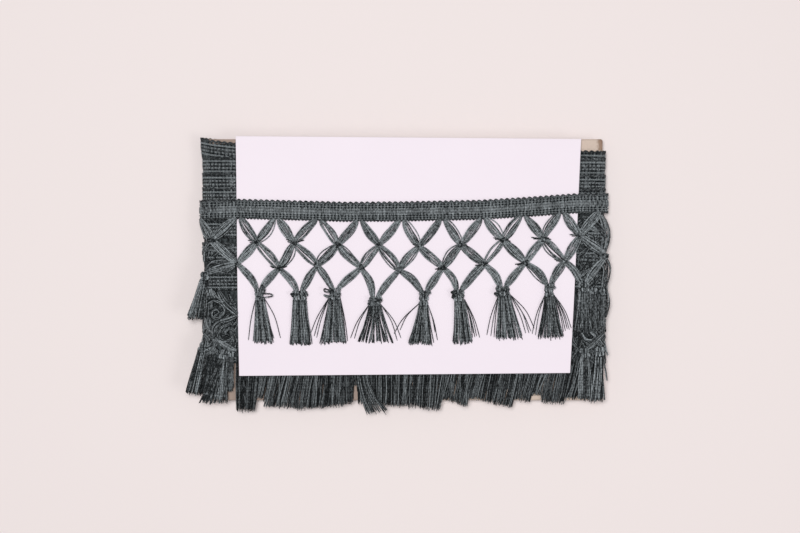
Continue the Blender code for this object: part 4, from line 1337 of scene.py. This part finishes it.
class TRIM_OT_edge_tassels(bpy.types.Operator):
    """Ties the tassels of lower turns that reach out at the board's ends"""

    bl_idname = "trim.edge_tassels"
    bl_label = "Edge tassels"

    def execute(self, context):
        settings = context.scene.trim_yarn
        finish = yarn_finish(settings)
        for number, (name, *sizes) in enumerate(EDGE_TASSELS_MM):
            rng = np.random.default_rng(settings.seed + 30 + number)
            x, top, wide, high, end_x, end_y, end_wide = (value * MM for value in sizes)
            inner_side = x - math.copysign(wide / 2, x)

            def place(px, py, rise, seat=inner_side):
                seated = on_front(np.full(np.shape(py), seat), py, NET_ON_PILE - 0.6 * MM + rise)
                return np.stack(np.broadcast_arrays(px + BOARD_X, py + BOARD_Y, seated[..., 2]), axis=-1)

            piece = Piece()
            slope = (end_x - x) / (top - end_y)
            tassel_head(piece, place, x, top, wide, high, TASSEL_THICK, 2, rng, slope)
            head = (mix(x, end_x, high / (top - end_y)), top - high * 0.85, wide)
            strands = 80 if end_wide > 13 * MM else 54
            end, tints = (end_x, end_y, end_wide), (-0.3, 0.95)
            tassel_strands(piece, place, head, end, TASSEL_THICK, strands, settings.radius, rng, tints)
            piece.finish(name + "_yarns", finish, "tassel_yarn", (name,))
        return {"FINISHED"}


class TRIM_OT_side_bundles(bpy.types.Operator):
    """Lays the loose net bundles, braids and tassels of lower turns beside the sheet"""

    bl_idname = "trim.side_bundles"
    bl_label = "Side bundles"

    def execute(self, context):
        settings = context.scene.trim_yarn
        rng = np.random.default_rng(settings.seed + 50)
        piece = Piece()
        for half_width, yarns, rise, places in SIDE_BUNDLES_MM:
            control = np.array(places) * MM
            samples = 7 + 5 * len(places)
            half, end_half = half_width * MM, half_width * 0.4 * MM
            waves = 0.35 * len(places)
            x, y, lift = lens_bundle(rng, control, half, yarns, samples, end_half=end_half, waves=waves)
            uneven = rng.uniform(-0.7, 0.5, (yarns, 1)) * MM
            paths = seen_from_front(x, y, lift + (rise - 0.6) * MM + uneven)
            thick = settings.radius * rng.uniform(0.8, 1.1)
            piece.yarns(paths, thick, 4, tint=rng.uniform(-0.15, 0.85, yarns))
        for side, arms, low, high in FILLERS_MM:
            for _ in range(arms):
                middle = np.array((side * rng.uniform(*FILLER_X_MM), rng.uniform(low, high))) * MM
                self.add_filler(piece, rng, middle, settings.radius)
        for x, y in np.array(SIDE_KNOTS_MM) * MM:
            add_knot(piece, lambda a, b, c: seen_from_front(a, b, c + 1.6 * MM), x, y, rng)
        for *sizes, strands in SIDE_TASSELS_MM:
            x, top, wide, high, end_x, end_y, end_wide = (value * MM for value in sizes)

            def place(px, py, lift):
                return seen_from_front(px, py, lift + 0.3 * MM)

            tassel_head(piece, place, x, top, wide, high, SIDE_TASSEL_THICK, 2, rng)
            head = (x, top - high * 0.8, wide)
            end = (end_x, end_y, end_wide)
            tints = (-0.4, 0.4) if strands > 40 else (0.0, 0.7)
            tassel_strands(piece, place, head, end, SIDE_TASSEL_THICK, strands, settings.radius, rng, tints)
        piece.finish("side_bundles", yarn_finish(settings), "wound_yarn")
        return {"FINISHED"}

    def add_filler(self, piece, rng, middle, radius):
        """One arm of hidden net, across the strip at about 45 degrees either way."""
        angle = rng.choice((0.8, 2.3)) + rng.normal(0, 0.35)
        along = np.array((math.cos(angle), math.sin(angle))) * rng.uniform(8, 12) * MM
        bend = np.array((-along[1], along[0])) * rng.uniform(-0.3, 0.3)
        control = np.array((middle - along, middle + bend, middle + along))
        reach = np.array(FILLER_X_MM) * MM
        out = np.clip(np.abs(control[:, 0]), reach[0] - 2.5 * MM, reach[1])
        control[:, 0] = np.sign(middle[0]) * out
        x, y, lift = lens_bundle(rng, control, rng.uniform(1.4, 2.6) * MM, 6, 10, waves=1.5)
        paths = seen_from_front(x, y, lift + rng.uniform(-1.5, -0.2) * MM)
        piece.yarns(paths, radius * 0.9, 3, tint=rng.uniform(-0.3, 0.75, 6))


class TRIM_OT_wound_net(bpy.types.Operator):
    """Nets the lower turns round the board's ends and over its back"""

    bl_idname = "trim.wound_net"
    bl_label = "Wound net"

    def execute(self, context):
        settings = context.scene.trim_yarn
        rng = np.random.default_rng(settings.seed + 60)
        piece = Piece()
        start = FRONT_RUN + 0.2 * END_RUN
        run = BACK_RUN + 1.6 * END_RUN
        repeats = int(run // NET_PITCH)
        pitch = run / repeats
        for layer, (shift, rise, low) in enumerate(((0.0, -0.3 * MM, 0.0), (0.5, -1.1 * MM, 13 * MM))):
            for number in range(repeats + 1):
                root = start + (number + shift) * pitch
                if root > start + run + 1e-6:
                    continue
                self.add_repeat(piece, rng, root, pitch, rise, low, start + run, settings.radius)
        piece.finish("wound_net", yarn_finish(settings), "wound_yarn")
        return {"FINISHED"}

    def add_repeat(self, piece, rng, root, pitch, rise, low, stop, radius):
        """From one root, an arm goes down to the knot on either side, and on to the next row."""

        def place(along, y, lift):
            return round_the_bolt(along, y, np.minimum(lift * 0.5 + rise, 0.75 * MM))

        rows = np.array((BACK_NET_TOP, *BACK_KNOT_ROWS, BACK_HEAD_Y)) + low
        for row, (y0, y1) in enumerate(zip(rows, rows[1:])):
            middle = root if row % 2 == 0 else root + pitch / 2
            for side in (-1, 1):
                end = middle + side * pitch / 2
                if end > stop or end < FRONT_RUN:
                    continue
                a = np.array((middle + side * 1.2 * MM, y0 - 1.2 * MM))
                b = np.array((end - side * 1.2 * MM, y1 + 1.2 * MM))
                jog = rng.normal(0, 0.9 * MM, 2)
                x, y, lift = lens_bundle(rng, (a, (a + b) / 2 + jog, b), 2.7 * MM, 5, 10)
                tint = rng.uniform(0.2, 0.85, 5)
                piece.yarns(place(x, y, lift), radius, 3, upright=(0.1, 0.2, 1.0), tint=tint)
            knot = middle + pitch / 2
            if row < 2 and FRONT_RUN < knot < stop:
                t = np.linspace(0, 2 * math.pi, 16)
                ring = place(knot + 1.7 * MM * np.cos(t), y1 + 1.7 * MM * np.sin(t), 1.6 * MM)
                piece.yarns(ring[None], 0.6 * MM, 4, upright=(0.1, 0.2, 1.0), tint=0.25)


class TRIM_OT_skirts(bpy.types.Operator):
    """Hangs the close skirts of tassel ends under the board's foot, on the front and the back"""

    bl_idname = "trim.skirts"
    bl_label = "Skirts"

    def execute(self, context):
        settings = context.scene.trim_yarn
        finish = yarn_finish(settings)
        rng = np.random.default_rng(settings.seed + 70)
        front = Piece()
        for layer in range(3):
            self.add_layer(front, rng, layer, 1, settings.radius)
        self.add_tuft(front, rng, settings.radius)
        front.finish("front_skirt", finish, "tassel_yarn", ("fringe_front",))
        back = Piece()
        for layer in range(2):
            self.add_layer(back, rng, layer, -1, settings.radius)
        self.add_back_tassels(back, rng, settings.radius)
        back.finish("back_skirt", finish, "tassel_yarn", ("fringe_back",))
        return {"FINISHED"}

    def add_layer(self, piece, rng, layer, side, radius):
        """Strands side by side. Their tips follow the cut line with a ragged step, they lean as the
        lean line says, and they come down from the pile's face to the board."""
        left, right = SKIRT_REACH if side > 0 else (-SKIRT_REACH[1], SKIRT_REACH[1])
        pitch = SKIRT_PITCH if side > 0 else 1.5 * SKIRT_PITCH
        count = int((right - left) / pitch)
        tip = np.linspace(left, right, count) + rng.normal(0, 0.25 * MM, count)
        clump = np.round(tip / (8.5 * MM) + 0.3 * layer)
        clump_lean = np.sin(clump * 12.99 + layer * 4.1) * 1.7 * MM
        if side > 0:
            end = line_at(SKIRT_ENDS_MM, tip)
            lean = line_at(SKIRT_LEAN_MM, tip)
        else:
            end = np.full(count, BACK_SKIRT_END) + np.sin(tip * 90 + 1) * 1.0 * MM
            lean = np.sin(tip * 25) * 3 * MM
        end = end + rng.normal(0, 0.9 * MM, count) + 1.0 * MM * layer
        stray = rng.random(count) < 0.24
        far, near = rng.normal(0, 4.5 * MM, count), rng.normal(0, 0.75 * MM, count)
        lean = lean + clump_lean + np.where(stray, far, near)
        t = np.linspace(0, 1, 9)[None]
        y = mix(SKIRT_TOP, end[:, None], t)
        x = tip[:, None] + lean[:, None] * (1 - t) + 0.35 * MM * np.sin(t * 5 + clump[:, None])
        depth_at = front_depth if side > 0 else back_depth
        outer = depth_at(SKIRT_TOP) - (0.3 + 1.5 * layer) * MM
        inner = BOARD_THICK / 2 + (3.4 - 1.0 * layer) * MM
        fall = eased(t * 1.5)
        depth = mix(outer, inner, fall) + rng.uniform(-0.45, 0.45, (count, 1)) * MM
        depth = depth + np.where(stray, 0.4 * MM, 0.0)[:, None]
        if side < 0:
            depth = np.minimum(depth, BOARD_THICK / 2 + BACK_PILE + BAND_RISE - radius)
        # Painted shade and light: the skirt's tints run darker than the tassels', each layer further in is
        # darker still, and strays that stand out are lighter, as painted highlight.
        tints = rng.uniform(-0.4, 0.70, count) * (1 - 0.25 * layer) + np.where(stray, 0.25, 0.0)
        piece.yarns(in_part(x, y, side * depth), radius * 0.95, 3, upright=(1.0, 0.0, 0.1), tint=tints)

    def add_tuft(self, piece, rng, radius):
        """The tassel that has slipped out of the skirt and curls to the right."""
        count = 40
        share = np.linspace(-1, 1, count)[:, None]
        t = np.linspace(0, 1, 11)[None]
        root_x = -36.0 * MM + share * 5.0 * MM
        end_x = -23.5 * MM + share * 9.0 * MM
        end_y = -122.6 * MM + share * 1.8 * MM + rng.normal(0, 1.3 * MM, (count, 1))
        x = mix(root_x, end_x, t**1.9) + rng.normal(0, 0.5 * MM, (count, 1)) * t
        y = mix(-86.0 * MM, end_y, t)
        depth = front_depth(-86 * MM) * 0.8 - 1.2 * MM * t + rng.uniform(0, 1.5, (count, 1)) * MM
        tints = rng.uniform(-0.2, 0.6, count)
        piece.yarns(in_part(x, y, depth), radius * 0.8, 4, upright=(1.0, 0.0, 0.1), tint=tints)

    def add_back_tassels(self, piece, rng, radius):
        """The lowest turn's own tassels on the back, with their heads at the net's foot."""

        def place(x, y, lift):
            deepest = BOARD_THICK / 2 + BACK_PILE + 0.6 * MM
            return in_part(x, y, -np.minimum(back_depth(y) + lift * 0.45 - 0.9 * MM, deepest))

        for x in np.arange(-4, 5) * NET_PITCH:
            tassel_head(piece, place, x, BACK_HEAD_Y, 10 * MM, 8 * MM, 3.6 * MM, 2, rng)
            head = (x, BACK_HEAD_Y - 7 * MM, 9 * MM)
            end = (x + rng.uniform(-2, 2) * MM, BACK_TASSEL_END, 22 * MM)
            tassel_strands(piece, place, head, end, 3.6 * MM, 44, radius, rng, (0.1, 0.8), 9, 3)


class TRIM_PT_sidebar(bpy.types.Panel):
    """Lists the trim's pieces and settings"""

    bl_idname = "TRIM_PT_sidebar"
    bl_label = "Tassel fringe trim"
    bl_space_type = "VIEW_3D"
    bl_region_type = "UI"
    bl_category = "Trim"

    def draw(self, context):
        for group in (context.scene.trim_yarn, context.scene.trim_stage):
            for name in group.__annotations__:
                self.layout.prop(group, name)
        for operator in OPERATORS:
            self.layout.operator(operator.bl_idname)


SETTINGS = (YarnSettings, StageSettings)
OPERATORS = (
    TRIM_OT_stage,
    TRIM_OT_board,
    TRIM_OT_paper_sheet,
    TRIM_OT_wound_pile,
    TRIM_OT_wound_headings,
    TRIM_OT_front_heading,
    TRIM_OT_front_net,
    TRIM_OT_tassels,
    TRIM_OT_edge_tassels,
    TRIM_OT_side_bundles,
    TRIM_OT_wound_net,
    TRIM_OT_skirts,
)
CLASSES = (*SETTINGS, *OPERATORS, TRIM_PT_sidebar)


def register():
    for cls in CLASSES:
        bpy.utils.register_class(cls)
    bpy.types.Scene.trim_yarn = PointerProperty(type=YarnSettings)
    bpy.types.Scene.trim_stage = PointerProperty(type=StageSettings)


def unregister():
    del bpy.types.Scene.trim_stage
    del bpy.types.Scene.trim_yarn
    for cls in reversed(CLASSES):
        bpy.utils.unregister_class(cls)


def main():
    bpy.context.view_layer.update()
    register()
    for operator in OPERATORS:
        group, name = operator.bl_idname.split(".")
        getattr(getattr(bpy.ops, group), name)()


if __name__ == "__main__":
    main()
